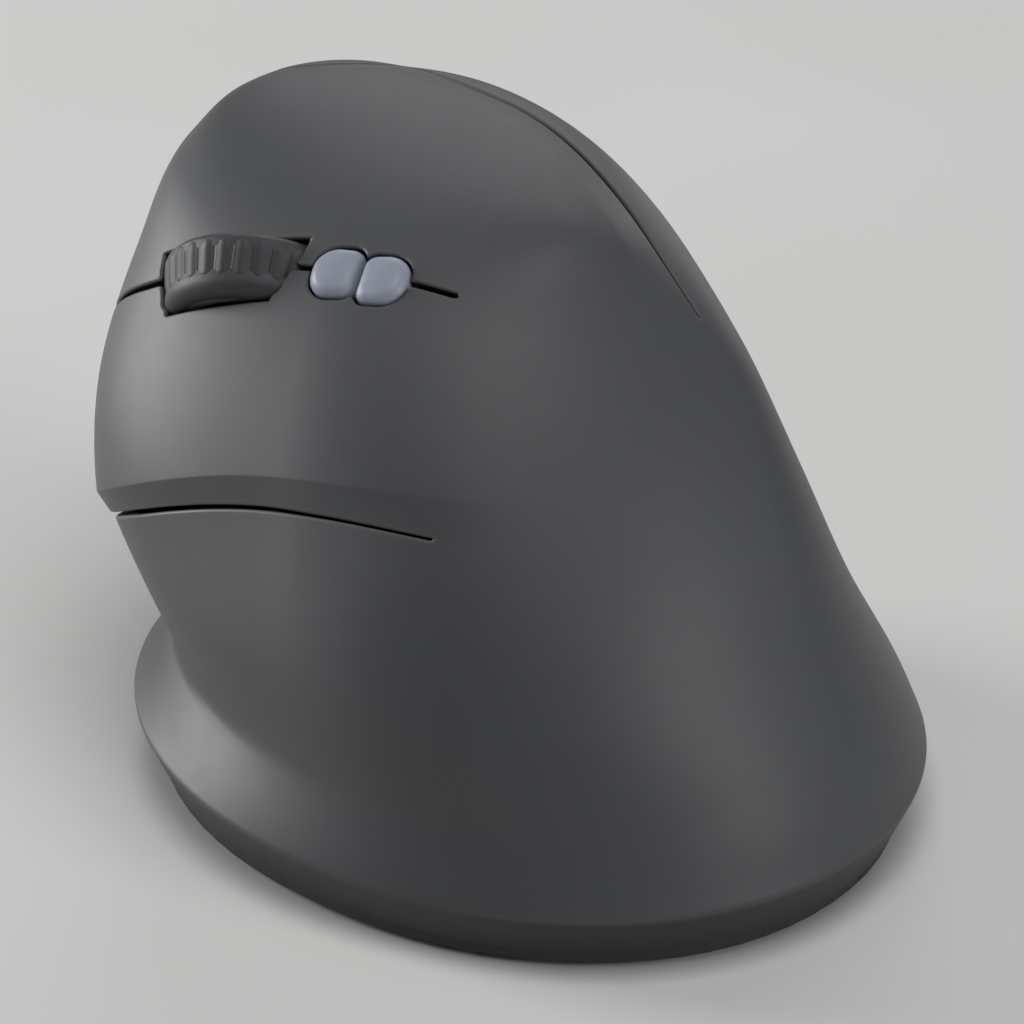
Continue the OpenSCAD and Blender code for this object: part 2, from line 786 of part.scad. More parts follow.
// A switch whose plunger lies off its middle, towards the rear or the front
module microswitch(press, towards) {
    color(SWITCH) on_face() translate([press.x, press.y, 0]) difference() {
        block(switch_size, [towards * switch_size.x / 5, 0, board_top]);
        block([plunger_size.x + 2 * plunger_gap, plunger_size.y + 2 * plunger_gap, far],
            [0, 0, switch_top - plunger_well]);
    }
}

module upper_switch() {
    microswitch(upper_press, -1);
}

module lower_switch() {
    microswitch(lower_press, 1);
}

module plunger(press) {
    color("#c0392b") on_face() translate([press.x, press.y, 0])
        block([plunger_size.x, plunger_size.y, plunger_size.z + plunger_sink],
            [0, 0, switch_top - plunger_sink]);
}

module upper_plunger() {
    plunger(upper_press);
}

module lower_plunger() {
    plunger(lower_press);
}

// Base: a floor plate with a plug inside the covers, a battery bay and a door in a track below it
plug_clearance = 0.2;
base_edge = -0.2;
rim_top = 5;
rim_wall = 1.5;
cell_x = 17;
cell_gap = 0.5;
bay_wall = 1.5;
bay_top = 12;
cell_z = floor_top + cell_gap + cell_d / 2;
contact_room = 2;
bay_length = cell_length + contact_room;
bay_width = cell_d + 2 * cell_gap;
door_clearance = 0.15;
door_top = base_seam - 0.1;
door_width = bay_width + 1.2;
door_lap = 1;
door_post_gap = 2;
front_post_y = post_at(THUMB_POSTS[0]).y;
cell_y = front_post_y - head_d / 2 - door_post_gap - door_lap - bay_length / 2;
door_front = cell_y + bay_length / 2 + door_lap;
tongue = [0.8, 0.5];
tongue_low = foot_height + 0.35;
main_board_size = [30, 29];
board_to_bay = 2.75;
main_board_at = [cell_x - bay_width / 2 - bay_wall - board_to_bay - main_board_size.x / 2, -18.5];
standoff = 4;
standoff_d = 4.6;
standoff_inset = 3;
sensor_at = main_board_at + [0, 4.5];
sensor_size = [11, 9, 3.4];
sensor_corner = 0.6;
window_size = [12, 8];
window_corner = 2;
slider_at = main_board_at - [2, 8.5];
slider_size = [4.4, 3];
slider_travel = 3;
slider_gap = 0.3;
slider_corner = 0.5;
foot_recess = 0.3;
foot_inset = [3, 9];
embed = 0.5;
EDGE = [for (a = [0:5:355]) a];

function base_outline(inset) = [for (a = EDGE) let (p = skirt(a, foot_height, inset)) [p.x, p.y]];
plug_inset = cover_wall + plug_clearance + 0.4;

// The door runs from the bay back to the rear edge of the base, which trims its end
module door_plan(grow) {
    translate([cell_x - door_width / 2 - grow, -far])
        square([door_width + 2 * grow, door_front + grow + far]);
}

module door_tongues(grow) {
    for (side = [-1, 1])
        translate([cell_x + side * door_width / 2 - tongue.x - grow, -far, tongue_low - grow])
            cube([2 * tongue.x + 2 * grow, far + door_front + grow, tongue.y + 2 * grow]);
}

module foot_plan(from, to) {
    angles = [for (k = [0:12]) from + (to - from) * k / 12];
    polygon([for (a = angles) let (p = skirt(a, foot_height, foot_inset[0])) [p.x, p.y],
        for (k = [12:-1:0]) let (p = skirt(angles[k], foot_height, foot_inset[1])) [p.x, p.y]]);
}

FRONT_FOOT = [60, 122];
REAR_FOOT = [222, 276];

module screw_hole(p) {
    translate([p.x, p.y, 0]) {
        cylinder(d = screw_d + screw_room, h = floor_top + 1);
        cylinder(d = head_d + screw_room, h = head_seat);
    }
}

module standoffs() {
    for (x = [-1, 1], y = [-1, 1])
        translate([main_board_at.x + x * (main_board_size.x / 2 - standoff_inset),
            main_board_at.y + y * (main_board_size.y / 2 - standoff_inset), floor_top - embed])
            cylinder(d = standoff_d, h = standoff + embed);
}

module bay_walls() {
    translate([cell_x, cell_y, floor_top - embed]) linear_extrude(bay_top - floor_top + embed) difference() {
        square([bay_width + 2 * bay_wall, bay_length + 2 * bay_wall], center = true);
        square([bay_width, bay_length], center = true);
    }
}

module base_plate() {
    color(FRAME) difference() {
        union() {
            translate([0, 0, foot_height]) linear_extrude(base_seam - foot_height)
                polygon(base_outline(base_edge));
            translate([0, 0, base_seam - embed]) linear_extrude(floor_top - base_seam + embed)
                polygon(base_outline(plug_inset));
            translate([0, 0, floor_top - embed]) linear_extrude(rim_top - floor_top + embed) difference() {
                polygon(base_outline(plug_inset));
                polygon(base_outline(plug_inset + rim_wall));
            }
            standoffs();
            bay_walls();
        }
        translate([0, 0, foot_height - 1]) linear_extrude(door_top - foot_height + 1 + door_clearance)
            door_plan(door_clearance);
        door_tongues(door_clearance);
        block([bay_width, bay_length, far], [cell_x, cell_y, foot_height]);
        for (a = concat(FINGER_POSTS, THUMB_POSTS)) screw_hole(post_at(a));
        for (a = concat(FINGER_POSTS, THUMB_POSTS)) translate([post_at(a).x, post_at(a).y, floor_top])
            cylinder(d = post_d + 2 * post_gap, h = far);
        for (q = LEGS) screw_hole(leg_at(q));
        translate([sensor_at.x, sensor_at.y, 0])
            slab(window_size.x, window_size.y, window_corner, -1, floor_top + 1);
        translate([slider_at.x, slider_at.y, 0])
            slab(slider_size.x + slider_travel + 2 * slider_gap, slider_size.y + 2 * slider_gap,
                slider_corner, -1, floor_top + 1);
        translate([0, 0, foot_height - 1]) linear_extrude(foot_recess + 1) {
            foot_plan(FRONT_FOOT[0], FRONT_FOOT[1]);
            foot_plan(REAR_FOOT[0], REAR_FOOT[1]);
        }
    }
}

module front_foot() {
    color("#15161a") linear_extrude(foot_height + foot_recess) foot_plan(FRONT_FOOT[0], FRONT_FOOT[1]);
}

module rear_foot() {
    color("#15161a") linear_extrude(foot_height + foot_recess) foot_plan(REAR_FOOT[0], REAR_FOOT[1]);
}

module battery_door() {
    color(FRAME) intersection() {
        union() {
            translate([0, 0, foot_height]) linear_extrude(door_top - foot_height) door_plan(0);
            door_tongues(0);
        }
        linear_extrude(far) polygon(base_outline(base_edge));
    }
}

nub_length = 1;
nub_d = 5.5;

module battery_cell() {
    color("#c8ccd2") translate([cell_x, cell_y - cell_length / 2, cell_z]) rotate([-90, 0, 0]) {
        cylinder(d = cell_d, h = cell_length - nub_length);
        cylinder(d = nub_d, h = cell_length);
    }
}

contact_plate = [10, 0.4, 8];
contact_cone = [6, 3];

module battery_contacts() {
    reach = contact_room / 2 - contact_plate.y;
    color(METAL) for (side = [-1, 1])
        translate([cell_x, cell_y + side * bay_length / 2, cell_z]) rotate([90 * side, 0, 0]) {
            translate([-contact_plate.x / 2, -contact_plate.z / 2, 0])
                cube([contact_plate.x, contact_plate.z, contact_plate.y]);
            cylinder(d1 = contact_cone[0], d2 = contact_cone[1], h = contact_plate.y + reach);
        }
}

module main_board() {
    color(BOARD) translate([main_board_at.x, main_board_at.y, floor_top + standoff]) difference() {
        slab(main_board_size.x, main_board_size.y, 3, 0, board_thickness);
        translate([sensor_at.x - main_board_at.x, sensor_at.y - main_board_at.y, -1])
            cylinder(d = lens_column + 2 * lens_gap, h = board_thickness + 2);
    }
}

lens_column = 6;
lens_flange = [15, 11, 1.2];
lens_gap = 0.3;
lens_low = foot_height + 0.6;

module sensor_lens() {
    color("#dfe6ea") translate([sensor_at.x, sensor_at.y, 0]) {
        slab(window_size.x - 2 * lens_gap, window_size.y - 2 * lens_gap, window_corner - lens_gap,
            lens_low, floor_top + embed);
        slab(lens_flange.x, lens_flange.y, window_corner, floor_top, floor_top + lens_flange.z);
        translate([0, 0, floor_top + embed])
            cylinder(d = lens_column, h = standoff + board_thickness - embed);
    }
}

module motion_sensor() {
    color(SWITCH) translate([sensor_at.x, sensor_at.y, floor_top + standoff + board_thickness])
        slab(sensor_size.x, sensor_size.y, sensor_corner, 0, sensor_size.z);
}

switch_case = [9, 4.4, 2.2];
slider_low = foot_height + 0.3;
slider_play = 0.1;

module power_switch() {
    color(METAL) block(switch_case, [slider_at.x, slider_at.y, floor_top + standoff - switch_case.z]);
}

module power_slider() {
    color(KEY) translate([slider_at.x - slider_travel / 2, slider_at.y, 0])
        slab(slider_size.x, slider_size.y, slider_corner, slider_low,
            floor_top + standoff - switch_case.z - slider_play);
}

module screw(p) {
    translate([p.x, p.y, head_seat]) {
        translate([0, 0, -head_h]) cylinder(d = head_d, h = head_h);
        cylinder(d = screw_d, h = screw_length);
    }
}

module cover_screws() {
    color(METAL) for (a = concat(FINGER_POSTS, THUMB_POSTS)) screw(post_at(a));
}

module frame_screws() {
    color(METAL) for (q = LEGS) screw(leg_at(q));
}

base_plate();
finger_cover();
thumb_cover();
upper_button();
lower_button();
wheel_hub();
wheel_tyre();
wheel_carrier();
scroll_encoder();
wheel_switch();
switch_frame();
button_board();
upper_switch();
lower_switch();
upper_plunger();
lower_plunger();
front_key();
rear_key();
key_switches();
forward_key();
back_key();
thumb_board();
thumb_switches();
main_board();
motion_sensor();
sensor_lens();
battery_cell();
battery_contacts();
battery_door();
power_switch();
power_slider();
front_foot();
rear_foot();
cover_screws();
frame_screws();
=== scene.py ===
import math
import bpy
import numpy as np
from mathutils import Matrix, Vector


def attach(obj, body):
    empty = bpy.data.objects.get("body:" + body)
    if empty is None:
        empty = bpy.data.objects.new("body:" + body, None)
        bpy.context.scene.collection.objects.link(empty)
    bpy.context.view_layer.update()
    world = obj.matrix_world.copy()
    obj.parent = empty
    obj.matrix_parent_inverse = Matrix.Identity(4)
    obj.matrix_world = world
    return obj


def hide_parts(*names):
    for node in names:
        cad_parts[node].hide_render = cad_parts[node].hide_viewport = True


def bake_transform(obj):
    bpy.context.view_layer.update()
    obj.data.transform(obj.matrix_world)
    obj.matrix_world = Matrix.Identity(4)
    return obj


# A vertical mouse for the left hand: moulded soft-touch covers, a ribbed wheel, two pale keys behind it
# and two thumb keys
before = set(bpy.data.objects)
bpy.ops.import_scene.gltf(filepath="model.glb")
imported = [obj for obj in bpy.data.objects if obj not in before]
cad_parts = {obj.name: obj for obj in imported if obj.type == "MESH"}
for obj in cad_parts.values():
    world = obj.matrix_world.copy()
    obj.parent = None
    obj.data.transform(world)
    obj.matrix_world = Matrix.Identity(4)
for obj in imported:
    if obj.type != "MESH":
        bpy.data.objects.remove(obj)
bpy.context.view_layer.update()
MM = 0.001

# The moulded body in millimetres. Each section: share of the rise, axis x and y, front, rear,
# finger side, thumb side, squareness in front and behind
LIP, CROWN, SKIRT_END, FOOT = 8.0, 71.2, 2.0, 0.8
# Of the four sizes below, the middle two set how far under the lip the painted shade is full, and the
# height over which it fades out towards the lip
SKIRT_INSET, SHADE_TOP, SHADE_BLUR, WALL = 3.4, 0.7, 0.6, 2.0
SECTIONS = [
    (0.000, -1, -2, 45.0, -52.5, -42.0, 42.0, 2.0, 2.05),
    (0.127, 1, -2, 46.5, -49.5, -39.0, 37.5, 2.1, 2.1),
    (0.316, 3, 0, 50.5, -43.0, -38.0, 31.0, 2.5, 2.2),
    (0.538, 7, 4, 52.3, -34.5, -33.5, 26.5, 2.8, 2.2),
    (0.744, 11, 9, 52.2, -24.0, -25.5, 23.5, 2.8, 2.2),
    (0.894, 9.5, 13, 50.7, -12.8, -15.5, 24.1, 2.8, 2.1),
    (0.9745, 6.5, 21.8, 43.8, -2.9, -2.5, 23.4, 2.17, 2.0),
    (1.000, 15.5, 18.1, 18.1, 18.1, 15.5, 15.5, 2.0, 2.0)]
LAST = 7
TOP = 6.985
AT_CROWN = TOP + 0.01
ON_AXIS = 0.01
rows = np.array(SECTIONS, float)
rows[:, 0] = LIP + rows[:, 0] * (CROWN - LIP)
beyond = rows[6].copy()
beyond[3:7] = 2 * rows[7][3:7] - rows[6][3:7]
padded = np.vstack([2 * rows[0] - rows[1], rows, beyond])

# The sloping face: origin at the wheel, x back along the slot, y uphill, z outwards
FACE = np.array([-19.7723, 25.7566, 60.6556])
BACK = np.array([0.251225, -0.899183, 0.358267])
UP = np.array([0.665983, 0.429174, 0.610144])
OUT = np.array([-0.70239, 0.0853168, 0.70666])

# A range is where a form fades in, from nothing to full.
# The crease under the lower button, the finger rest below it and the chamfer between them
CREASE_TOP, CREASE_Y, CREASE_CURVE, CREASE_SOFT, BAND = 49.4, -12.0, 138.0, 0.12, 3.7
SCOOP, REST_LOW, REST_ROUND, REST_RANGE = 4.2, 0.8, 0.1, (-26, 34)
CHAMFER, CHAMFER_FADE, CHAMFER_RANGE = 0.27, 18.0, (-24, -2)
FINGER_RANGE = (12, -12)

# The seam along the ridge: its bends, each a shift and its range, the slit in it and the bevel beside it
NOSE_Y, SEAM_X = 48.0, 12
SEAM_BENDS = ((8, -20, 20), (22, -18, -34), (-10, 36, NOSE_Y))
SLIT, SLIT_THIN, SLIT_END, SLIT_FULL = 0.34, 0.3, -18.4, -4
BEVEL, BEVEL_DROP, BEVEL_SOFT = 4.0, 0.6, 0.35
BEVEL_REAR, BEVEL_NOSE, BEVEL_RISE = (-22, -4), (47, 37), (48, 60)

# The slot between the buttons, the gap under the lower one, and where the buttons end
SLOT_GAP, SLOT_TOP, SLOT_PEAK, SLOT_CURVE, SLOT_END = 0.65, 1.0, -2.0, 256.0, 28.9
SLOT_LIFT, LIFT_START, LIFT_END = 4.0, -8.0, -30.0
GAP_THIN, GAP_GROWTH, GAP_RANGE, GAP_END = 0.16, 0.46, (-20, 48), -14.5
FLEX, BEND = 29.5, 9.0
BUTTON_DEPTH, TIP_GAP = 27.0, 0.6

# Rolled edges of the openings, the draft of their walls, and the round of the lip
EDGE = 0.35
EDGE_SHARES = (1, 0.69, 0.41, 0.19, 0.05, 0)
DRAFT, DRAFT_FADE = 0.6, 2.5
FILLET = 0.07
WEAR_REACH = 0.5

# The wheel and the keys
WHEEL = np.array([-13.8166, 25.2372, 55.1757])
WHEEL_R, WHEEL_W, WHEEL_GAP = 11.5, 7.4, 0.35
TAPER, SHOULDER, WINDOW_ROUND = 0.22, 1.8, 0.35
HALF_WHEEL = WHEEL_W / 2
SHOULDER_AT = HALF_WHEEL - SHOULDER
KEY_OUT = np.array([-0.482611, -0.065422, 0.873388])
THUMB_OUT = np.array([0.971219, 0.0192786, 0.237406])
KEY_SIZE, KEY_END, KEY_MEET = (5.9, 6.6), 2.9, 1.5
THUMB_SIZE, THUMB_CORNER = (17.0, 6.4), 2.8
KEY_GAP, KEY_RISE, KEY_SKIRT, KEY_REACH = 0.3, 0.9, 3.6, 12


def smooth(a, b, x):
    u = np.clip((x - a) / (b - a), 0, 1)
    return u * u * (3 - 2 * u)


def unit(v):
    return v / np.maximum(np.linalg.norm(v, axis=-1, keepdims=True), 1e-12)


def section(t):
    """The sections blended by a smooth curve through them."""
    i = np.clip(np.floor(t).astype(int), 0, LAST - 1)
    u = (t - i)[:, None]
    a, b, c, d = (padded[i + k] for k in range(4))
    return (2 * b + u * (c - a) + u * u * (2 * a - 5 * b + 4 * c - d)
            + u ** 3 * (3 * b - a - 3 * c + d)) / 2


def oval(r, a):
    """Points of a section's outline at an angle."""
    c, s = np.cos(a), np.sin(a)
    half_x = np.where(c > 0, r[:, 6] - r[:, 1], r[:, 1] - r[:, 5])
    half_y = np.where(s > 0, r[:, 3] - r[:, 2], r[:, 2] - r[:, 4])
    square = 2 / np.where(s > 0, r[:, 7], r[:, 8])
    x = r[:, 1] + np.sign(c) * half_x * np.abs(c) ** square
    y = r[:, 2] + np.sign(s) * half_y * np.abs(s) ** square
    return np.stack([x, y, r[:, 0]], 1)


def crease_height(y):
    return CREASE_TOP - (y - CREASE_Y) ** 2 / CREASE_CURVE


def scoop(p):
    """How far the finger rest and the chamfer over it draw the surface in."""
    edge = crease_height(p[:, 1])
    u = np.clip((edge - p[:, 2]) / np.maximum(edge - LIP, 1), 0, 1)
    fall, rise = u / REST_LOW, (1 - u) / (1 - REST_LOW)
    depth = np.maximum((fall + rise - np.sqrt((fall - rise) ** 2 + REST_ROUND ** 2)) / 2, 0)
    below = edge - p[:, 2]
    chamfer = CHAMFER * np.clip(below, 0, BAND) * (1 - smooth(BAND, BAND + CHAMFER_FADE, below))
    along = SCOOP * depth * smooth(*REST_RANGE, p[:, 1]) + chamfer * smooth(*CHAMFER_RANGE, p[:, 1])
    return along * smooth(*FINGER_RANGE, p[:, 0])


def drawn_in(p, r, d):
    """Points moved level towards the section's axis, unless they are on it."""
    v = r[..., 1:3] - p[:, :2]
    away = np.linalg.norm(v, axis=1)
    q = p.copy()
    q[:, :2] += v * (d / np.maximum(away, ON_AXIS))[:, None]
    return np.where((away < ON_AXIS)[:, None], p, q)


def seam_x(y):
    x = SEAM_X
    for shift, start, end in SEAM_BENDS:
        x = x + shift * smooth(start, end, y)
    return x


def ridge_bevel(p):
    """How far the flat beside the seam falls below the crown of the face."""
    d = p[:, 0] - (seam_x(p[:, 1]) - BEVEL)
    ramp = np.where(d < BEVEL_SOFT, np.maximum(d + BEVEL_SOFT, 0) ** 2 / (4 * BEVEL_SOFT), d)
    far = np.clip((d - BEVEL) / (2 * BEVEL), 0, 1)
    drop = np.where(d < BEVEL, ramp / BEVEL, (1 - far) ** 2)
    along = smooth(*BEVEL_REAR, p[:, 1]) * smooth(*BEVEL_NOSE, p[:, 1])
    return BEVEL_DROP * drop * along * smooth(*BEVEL_RISE, p[:, 2])


def plain_surface(v, a):
    """The surface before its lip is rounded."""
    t = np.clip(v, 0, LAST)
    r = section(t)
    p = oval(r, a)
    p = drawn_in(p, r, scoop(p))
    p[:, 2] -= ridge_bevel(p)
    low = v < 0
    if low.any():
        z = LIP + v[low] * (LIP - SKIRT_END)
        q = drawn_in(p[low], rows[0], SKIRT_INSET * (LIP - z) / (LIP - FOOT))
        q[:, 2] = z
        p[low] = q
    return p


def surface(v, a):
    """Points of the moulded surface: v below 0 is the skirt, 0 the lip, 7 the crown; a the angle."""
    p = plain_surface(v, a)
    near = np.abs(v) < FILLET
    if near.any():
        s = ((v[near] / FILLET + 1) / 2)[:, None]
        one = np.ones(near.sum())
        ends = [plain_surface(k * FILLET * one, a[near]) for k in (-1, 0, 1)]
        p[near] = (1 - s) ** 2 * ends[0] + 2 * s * (1 - s) * ends[1] + s * s * ends[2]
    return p


# Steps for slopes on the surface, and the slopes of a border that are believed
DV, DA = 0.001, 0.0006
BELIEVED = (0.25, 4)
FAR, NOWHERE = 1e3, 50


def stencil(v, a):
    """A point of the surface and its four neighbours."""
    w = np.minimum(v, TOP)
    return (surface(v, a), surface(w + DV, a), surface(w - DV, a),
            surface(w, a + DA), surface(w, a - DA))


def slopes(around):
    along = (around[1] - around[2]) / (2 * DV)
    across = (around[3] - around[4]) / (2 * DA)
    return along, across


def normals(v, a):
    along, across = slopes(stencil(v, a))
    n = unit(np.cross(across, along))
    n[v > LAST - 1e-6] = (0, 0, 1)
    return n


def edge_reading(borders, v, a, lean=False):
    """Distance on the surface to the nearest border, positive inside; with lean, the way out as well."""
    around = stencil(v, a)
    along, across = slopes(around)
    e, f, g = (along ** 2).sum(1), (along * across).sum(1), (across ** 2).sum(1)
    area = np.maximum(e * g - f * f, 1e-9)
    best = np.full(len(v), FAR)
    way = np.zeros((len(v), 3))
    for border in borders:
        at = [border(p) for p in around]
        dv, da = (at[1] - at[2]) / (2 * DV), (at[3] - at[4]) / (2 * DA)
        slope = (((g * dv - f * da) / area)[:, None] * along
                 + ((e * da - f * dv) / area)[:, None] * across)
        size = np.linalg.norm(slope, axis=1)
        reach = at[0] / np.clip(size, *BELIEVED)
        nearer = reach < best
        best = np.where(nearer, reach, best)
        if lean:
            way[nearer] = -unit(slope[nearer])
    return (best, way) if lean else best


def on_face(p):
    d = p - FACE
    return d @ BACK, d @ UP, d @ OUT


def flex_side(p):
    return on_face(p)[0] - FLEX


def seam_side(p):
    """Positive on the thumb side of the ridge line and on the nose."""
    return np.maximum(p[:, 0] - seam_x(p[:, 1]), p[:, 1] - NOSE_Y)


def slit_border(p):
    """The slit along the ridge, which narrows and ends behind the crown."""
    y, side = p[:, 1], seam_side(p)
    half = SLIT / 2 * (SLIT_THIN + (1 - SLIT_THIN) * smooth(SLIT_END, SLIT_FULL, y))
    return np.where(y > SLIT_END, np.abs(side), np.hypot(side, y - SLIT_END)) - half


def slot_line(x):
    return SLOT_TOP - (x - SLOT_PEAK) ** 2 / SLOT_CURVE + SLOT_LIFT * smooth(LIFT_START, LIFT_END, x)


def slot_side(p):
    x, y, _ = on_face(p)
    return y - slot_line(x)


def slot_border(p):
    """The slot between the buttons, from the nose to behind the pale keys."""
    x, y, _ = on_face(p)
    lean = np.sqrt(1 + (2 * (x - SLOT_PEAK) / SLOT_CURVE) ** 2)
    beside = np.abs(y - slot_line(x)) / lean
    behind = np.hypot(x - SLOT_END, y - slot_line(SLOT_END))
    there = (seam_side(p) < 0) & (tip_side(p) > -TIP_GAP / 2)
    return np.where(there, np.where(x < SLOT_END, beside, behind) - SLOT_GAP / 2, NOWHERE)


def gap_width(y):
    return GAP_THIN + GAP_GROWTH * smooth(*GAP_RANGE, y)


def gap_side(p):
    return p[:, 2] - (crease_height(p[:, 1]) - BAND - gap_width(p[:, 1]) / 2)


def gap_border(p):
    """The gap under the lower button, which narrows towards its rear end."""
    y, side = p[:, 1], gap_side(p)
    lean = np.sqrt(1 + (2 * (y - CREASE_Y) / CREASE_CURVE) ** 2)
    beside = np.where(y > GAP_END, np.abs(side) / lean, np.hypot(side, y - GAP_END)) - gap_width(y) / 2
    return np.where((seam_side(p) < 0) & (tip_side(p) > -TIP_GAP / 2), beside, NOWHERE)


def tip_side(p):
    return on_face(p)[2] + BUTTON_DEPTH + TIP_GAP / 2


def tip_border(p):
    """The gap at the foot of the buttons, low on the nose."""
    there = (flex_side(p) < 0) & (gap_side(p) > 0) & (seam_side(p) < 0)
    return np.where(there, np.abs(tip_side(p)) - TIP_GAP / 2, NOWHERE)


def tread(h):
    """Outside radius of the tyre at a height on its axle: a taper between two round shoulders."""
    flat = np.clip(h, -SHOULDER_AT, SHOULDER_AT)
    return WHEEL_R - SHOULDER + TAPER * flat + np.sqrt(np.maximum(SHOULDER ** 2 - (h - flat) ** 2, 0))


def wheel_border(p):
    """The window closes round the lower shoulder and stays square at the upper one."""
    d = p - WHEEL
    h = d @ UP
    beyond_side = np.abs(h) - (HALF_WHEEL + WHEEL_GAP)
    radius = tread(np.clip(h, WINDOW_ROUND - HALF_WHEEL, SHOULDER_AT))
    beyond_tread = np.hypot(d @ BACK, d @ OUT) - (radius + WHEEL_GAP)
    return np.maximum(beyond_side, beyond_tread)


def axes_at(out, along):
    x = unit(along - (along @ out) * out)
    return x, np.cross(out, x), out


def rounded(x, y, size, corners):
    """Signed distance to a rectangle; the corners are its radii at the +x end and at the -x end."""
    r = np.where(x > 0, corners[0], corners[1])
    qx, qy = np.abs(x) - size[0] / 2 + r, np.abs(y) - size[1] / 2 + r
    return np.hypot(np.maximum(qx, 0), np.maximum(qy, 0)) + np.minimum(np.maximum(qx, qy), 0) - r


class Key:
    """A key on the surface: its place by row and degrees, its axes and its outline."""

    def __init__(self, place, out, along, size, corners, dome, roll):
        self.at = surface(np.array([place[0]]), np.radians([place[1]]))[0]
        self.x, self.y, self.out = axes_at(out, along)
        self.size, self.corners, self.dome, self.roll = size, corners, dome, roll

    def border(self, p):
        d = p - self.at
        size = [s + 2 * KEY_GAP for s in self.size]
        corners = [c + KEY_GAP for c in self.corners]
        flat = rounded(d @ self.x, d @ self.y, size, corners)
        return np.where(d @ self.out > -KEY_REACH, flat, NOWHERE)


PILLOW = {"out": KEY_OUT, "along": BACK, "size": KEY_SIZE, "dome": 9.0, "roll": 1.1}
THUMB = {"out": THUMB_OUT, "along": np.array([0.0, -1.0, 0.0]), "size": THUMB_SIZE,
         "corners": (THUMB_CORNER, THUMB_CORNER), "dome": 60.0, "roll": 0.8}
front_key = Key((5.024, 182), corners=(KEY_MEET, KEY_END), **PILLOW)
rear_key = Key((5.107, 196.2), corners=(KEY_END, KEY_MEET), **PILLOW)
forward_key = Key((3.445, 15), **THUMB)
back_key = Key((3.44, 357.5), **THUMB)


def foot_border(p):
    return p[:, 2] - SKIRT_END


BORDERS = (slit_border, slot_border, gap_border, tip_border, wheel_border, front_key.border,
           rear_key.border, forward_key.border, back_key.border, foot_border)

# A grid over the whole surface, cut along the features and the borders
COLUMNS, CROWDING = 288, 1.3
SKIRT_ROWS, FILLET_ROWS = 9, [-0.045, -0.02, 0, 0.02, 0.045, FILLET]
ROW_COUNTS = (9, 14, 18, 18, 20, 18, 24)


def surface_grid():
    """Rows v, angles a and triangles over the whole surface, closer where its outline turns."""
    turn = np.arange(COLUMNS) * 2 * math.pi / COLUMNS
    c, s = np.cos(turn), np.sin(turn)
    a = np.arctan2(np.sign(s) * np.abs(s) ** CROWDING, np.sign(c) * np.abs(c) ** CROWDING)
    levels = list(np.linspace(-1, -FILLET, SKIRT_ROWS)) + FILLET_ROWS
    levels += list(np.linspace(FILLET, 1, ROW_COUNTS[0])[1:])
    for k in range(1, LAST):
        levels += list(np.linspace(k, k + 1, ROW_COUNTS[k] + 1)[1:])
    levels = np.array(levels[:-1])
    v = np.append(np.repeat(levels, COLUMNS), LAST)
    a = np.append(np.tile(a, len(levels)), 0)
    j = np.arange(COLUMNS)
    k = (j + 1) % COLUMNS
    tris = []
    for row in range(len(levels) - 1):
        low, high = row * COLUMNS, (row + 1) * COLUMNS
        tris += [np.stack([low + j, low + k, high + k], 1), np.stack([low + j, high + k, high + j], 1)]
    last = (len(levels) - 1) * COLUMNS
    tris.append(np.stack([last + j, last + k, np.full(COLUMNS, len(v) - 1)], 1))
    return v, a, np.concatenate(tris)


def between(v, a, pairs, w):
    """Points part of the way along edges."""
    i, j = pairs.T
    turn = (a[j] - a[i] + math.pi) % (2 * math.pi) - math.pi
    angle = np.where(v[i] > AT_CROWN, a[j], np.where(v[j] > AT_CROWN, a[i], a[i] + w * turn))
    return v[i] + w * (v[j] - v[i]), angle


SNAP, SEARCHES, MARGIN = 0.006, 4, 0.02


def split(mesh, reading, level):
    """Cut the triangles where a reading passes a level."""
    v, a, tris = mesh
    g = reading(v, a) - level
    g[np.abs(g) < SNAP] = 0
    edges = np.sort(np.concatenate([tris[:, [0, 1]], tris[:, [1, 2]], tris[:, [2, 0]]]), axis=1)
    cut = g[edges[:, 0]] * g[edges[:, 1]] < 0
    if not cut.any():
        return mesh
    pairs, back = np.unique(edges[cut], axis=0, return_inverse=True)
    low, high = np.zeros(len(pairs)), np.ones(len(pairs))
    g_low, g_high = g[pairs[:, 0]], g[pairs[:, 1]]
    for _ in range(SEARCHES):
        w = low + (high - low) * np.clip(g_low / (g_low - g_high), MARGIN, 1 - MARGIN)
        here = reading(*between(v, a, pairs, w)) - level
        same = np.sign(here) == np.sign(g_low)
        low, g_low = np.where(same, w, low), np.where(same, here, g_low)
        high, g_high = np.where(same, high, w), np.where(same, g_high, here)
    w = low + (high - low) * np.clip(g_low / (g_low - g_high + 1e-12), 0, 1)
    new_v, new_a = between(v, a, pairs, w)
    ids = np.full(len(edges), -1)
    ids[cut] = len(v) + back.ravel()
    mids = ids.reshape(3, -1).T
    count = (mids >= 0).sum(1)
    out = [tris[count == 0]]
    for k in range(3):
        p, q, r = tris[:, k], tris[:, (k + 1) % 3], tris[:, (k + 2) % 3]
        one = (count == 1) & (mids[:, k] >= 0)
        x = mids[one, k]
        out += [np.stack([p[one], x, r[one]], 1), np.stack([x, q[one], r[one]], 1)]
        two = (count == 2) & (mids[:, k] < 0)
        x, y = mids[two, (k + 1) % 3], mids[two, (k + 2) % 3]
        out += [np.stack([r[two], y, x], 1), np.stack([p[two], q[two], x], 1),
                np.stack([p[two], x, y], 1)]
    return np.append(v, new_v), np.append(a, new_a), np.concatenate(out)


def kept(mesh, keep):
    """The triangles to keep, with the points that they use."""
    v, a, tris = mesh
    used, tris = np.unique(tris[keep], return_inverse=True)
    return v[used], a[used], tris.reshape(-1, 3)


def crease_side(p):
    return p[:, 2] - crease_height(p[:, 1])


def bevel_side(p):
    return p[:, 0] - seam_x(p[:, 1]) + BEVEL


